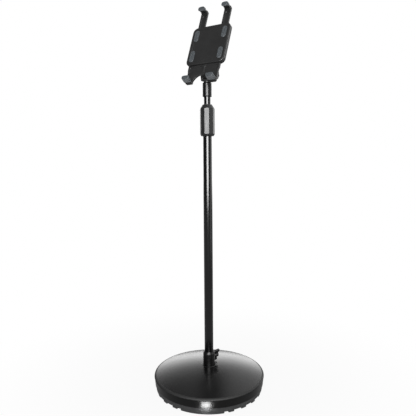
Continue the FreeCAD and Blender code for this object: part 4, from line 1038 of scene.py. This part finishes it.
# Lights. The cards show in glossy surfaces only, and the light falls on matt ones only

def softbox(
    name,
    place,
    size,
    radiance,
    aim=None,
    glossy=True,
    diffuse=True,
    shape="RECTANGLE",
    spread=180,
):
    """A flat light that faces the pole, or the point it is aimed at, and isn't seen itself.

    place is its turn about the pole, its reach and its height, and size is its width and height.
    """
    width, tall = size
    data = bpy.data.lights.new(name, "AREA")
    data.shape = shape
    data.spread = math.radians(spread)
    data.size = width
    data.size_y = tall
    data.energy = radiance * math.pi * width * tall
    item = bpy.data.objects.new(name, data)
    bpy.context.scene.collection.objects.link(item)
    item.location = about_pole(*place)
    target = Vector(aim or (0, 0, place[2]))
    item.rotation_mode = "QUATERNION"
    item.rotation_quaternion = (target - item.location).to_track_quat("-Z", "Y")
    item.visible_camera = False
    item.visible_glossy = glossy
    item.visible_diffuse = diffuse


# The glint is a small light close to the front of the base, which shows in its side wall
GLINT_AIM = (0.0615, -0.1191, 0.0185)

softbox("key_card", (27.5, 1.35, 1.01), (1.0, 0.94), 20, diffuse=False)
softbox("key_light", (26.3, 1.35, 0.95), (1.0, 1.0), 2.2, glossy=False)
softbox("side_card", (104, 1.5, 0.6), (0.5, 1.1), 1.6, diffuse=False)
softbox(
    "wall_glint",
    (26.6, 0.158, 0.005),
    (0.03, 0.0115),
    13.0,
    aim=GLINT_AIM,
    diffuse=False,
    shape="ELLIPSE",
    spread=80,
)


# World: white to the camera, a studio to reflections, a plain level to matt surfaces

DARK_SIDE = 12
BRIGHT_SIDE = 120
MATT_LEVEL = 0.35


def studio_world():
    """The world's strength by direction, all of it white."""
    world = bpy.data.worlds.new("studio")
    bpy.context.scene.world = world
    world.use_nodes = True
    world.node_tree.nodes.clear()
    sky = Nodes(world.node_tree)
    way = sky.add("ShaderNodeTexCoord").outputs["Generated"]
    height = sky.add("ShaderNodeSeparateXYZ", {0: way}).outputs[2]

    # Walls that darken from behind the object to the camera's side, with a glow low at the back
    front = sky.dot(way, about_pole(DARK_SIDE))
    walls = sky.span(front, -0.8, 0.2, 1.0, 0.07)
    backdrop = sky.span(front, -0.9, -0.55, 2.1, 0.0)
    low_back = sky.math("MULTIPLY", backdrop, sky.span(height, 0.12, 0.5, 1.0, 0.0))
    lit = sky.math("ADD", walls, low_back)

    # A ceiling that is brighter on one side, with a dark gap between its two halves
    side = sky.dot(way, about_pole(BRIGHT_SIDE))
    apart = sky.math("ABSOLUTE", sky.math("SUBTRACT", side, 0.02))
    gap = sky.span(apart, 0.02, 0.16, 0.1, 1.0)
    ceiling = sky.math("MULTIPLY", sky.span(side, -0.45, 0.75, 0.25, 1.25), gap)

    room = sky.mix(sky.span(height, 0.25, 0.75), lit, ceiling)
    reflected = sky.mix(sky.seen(), MATT_LEVEL, room)
    camera_ray = sky.add("ShaderNodeLightPath").outputs["Is Camera Ray"]
    strength = sky.mix(camera_ray, reflected, 1.0)
    background = sky.add("ShaderNodeBackground", {"Color": (1, 1, 1), "Strength": strength})
    output = sky.add("ShaderNodeOutputWorld")
    sky.put(output.inputs["Surface"], background.outputs[0])


studio_world()
bpy.context.scene.view_settings.view_transform = "Standard"
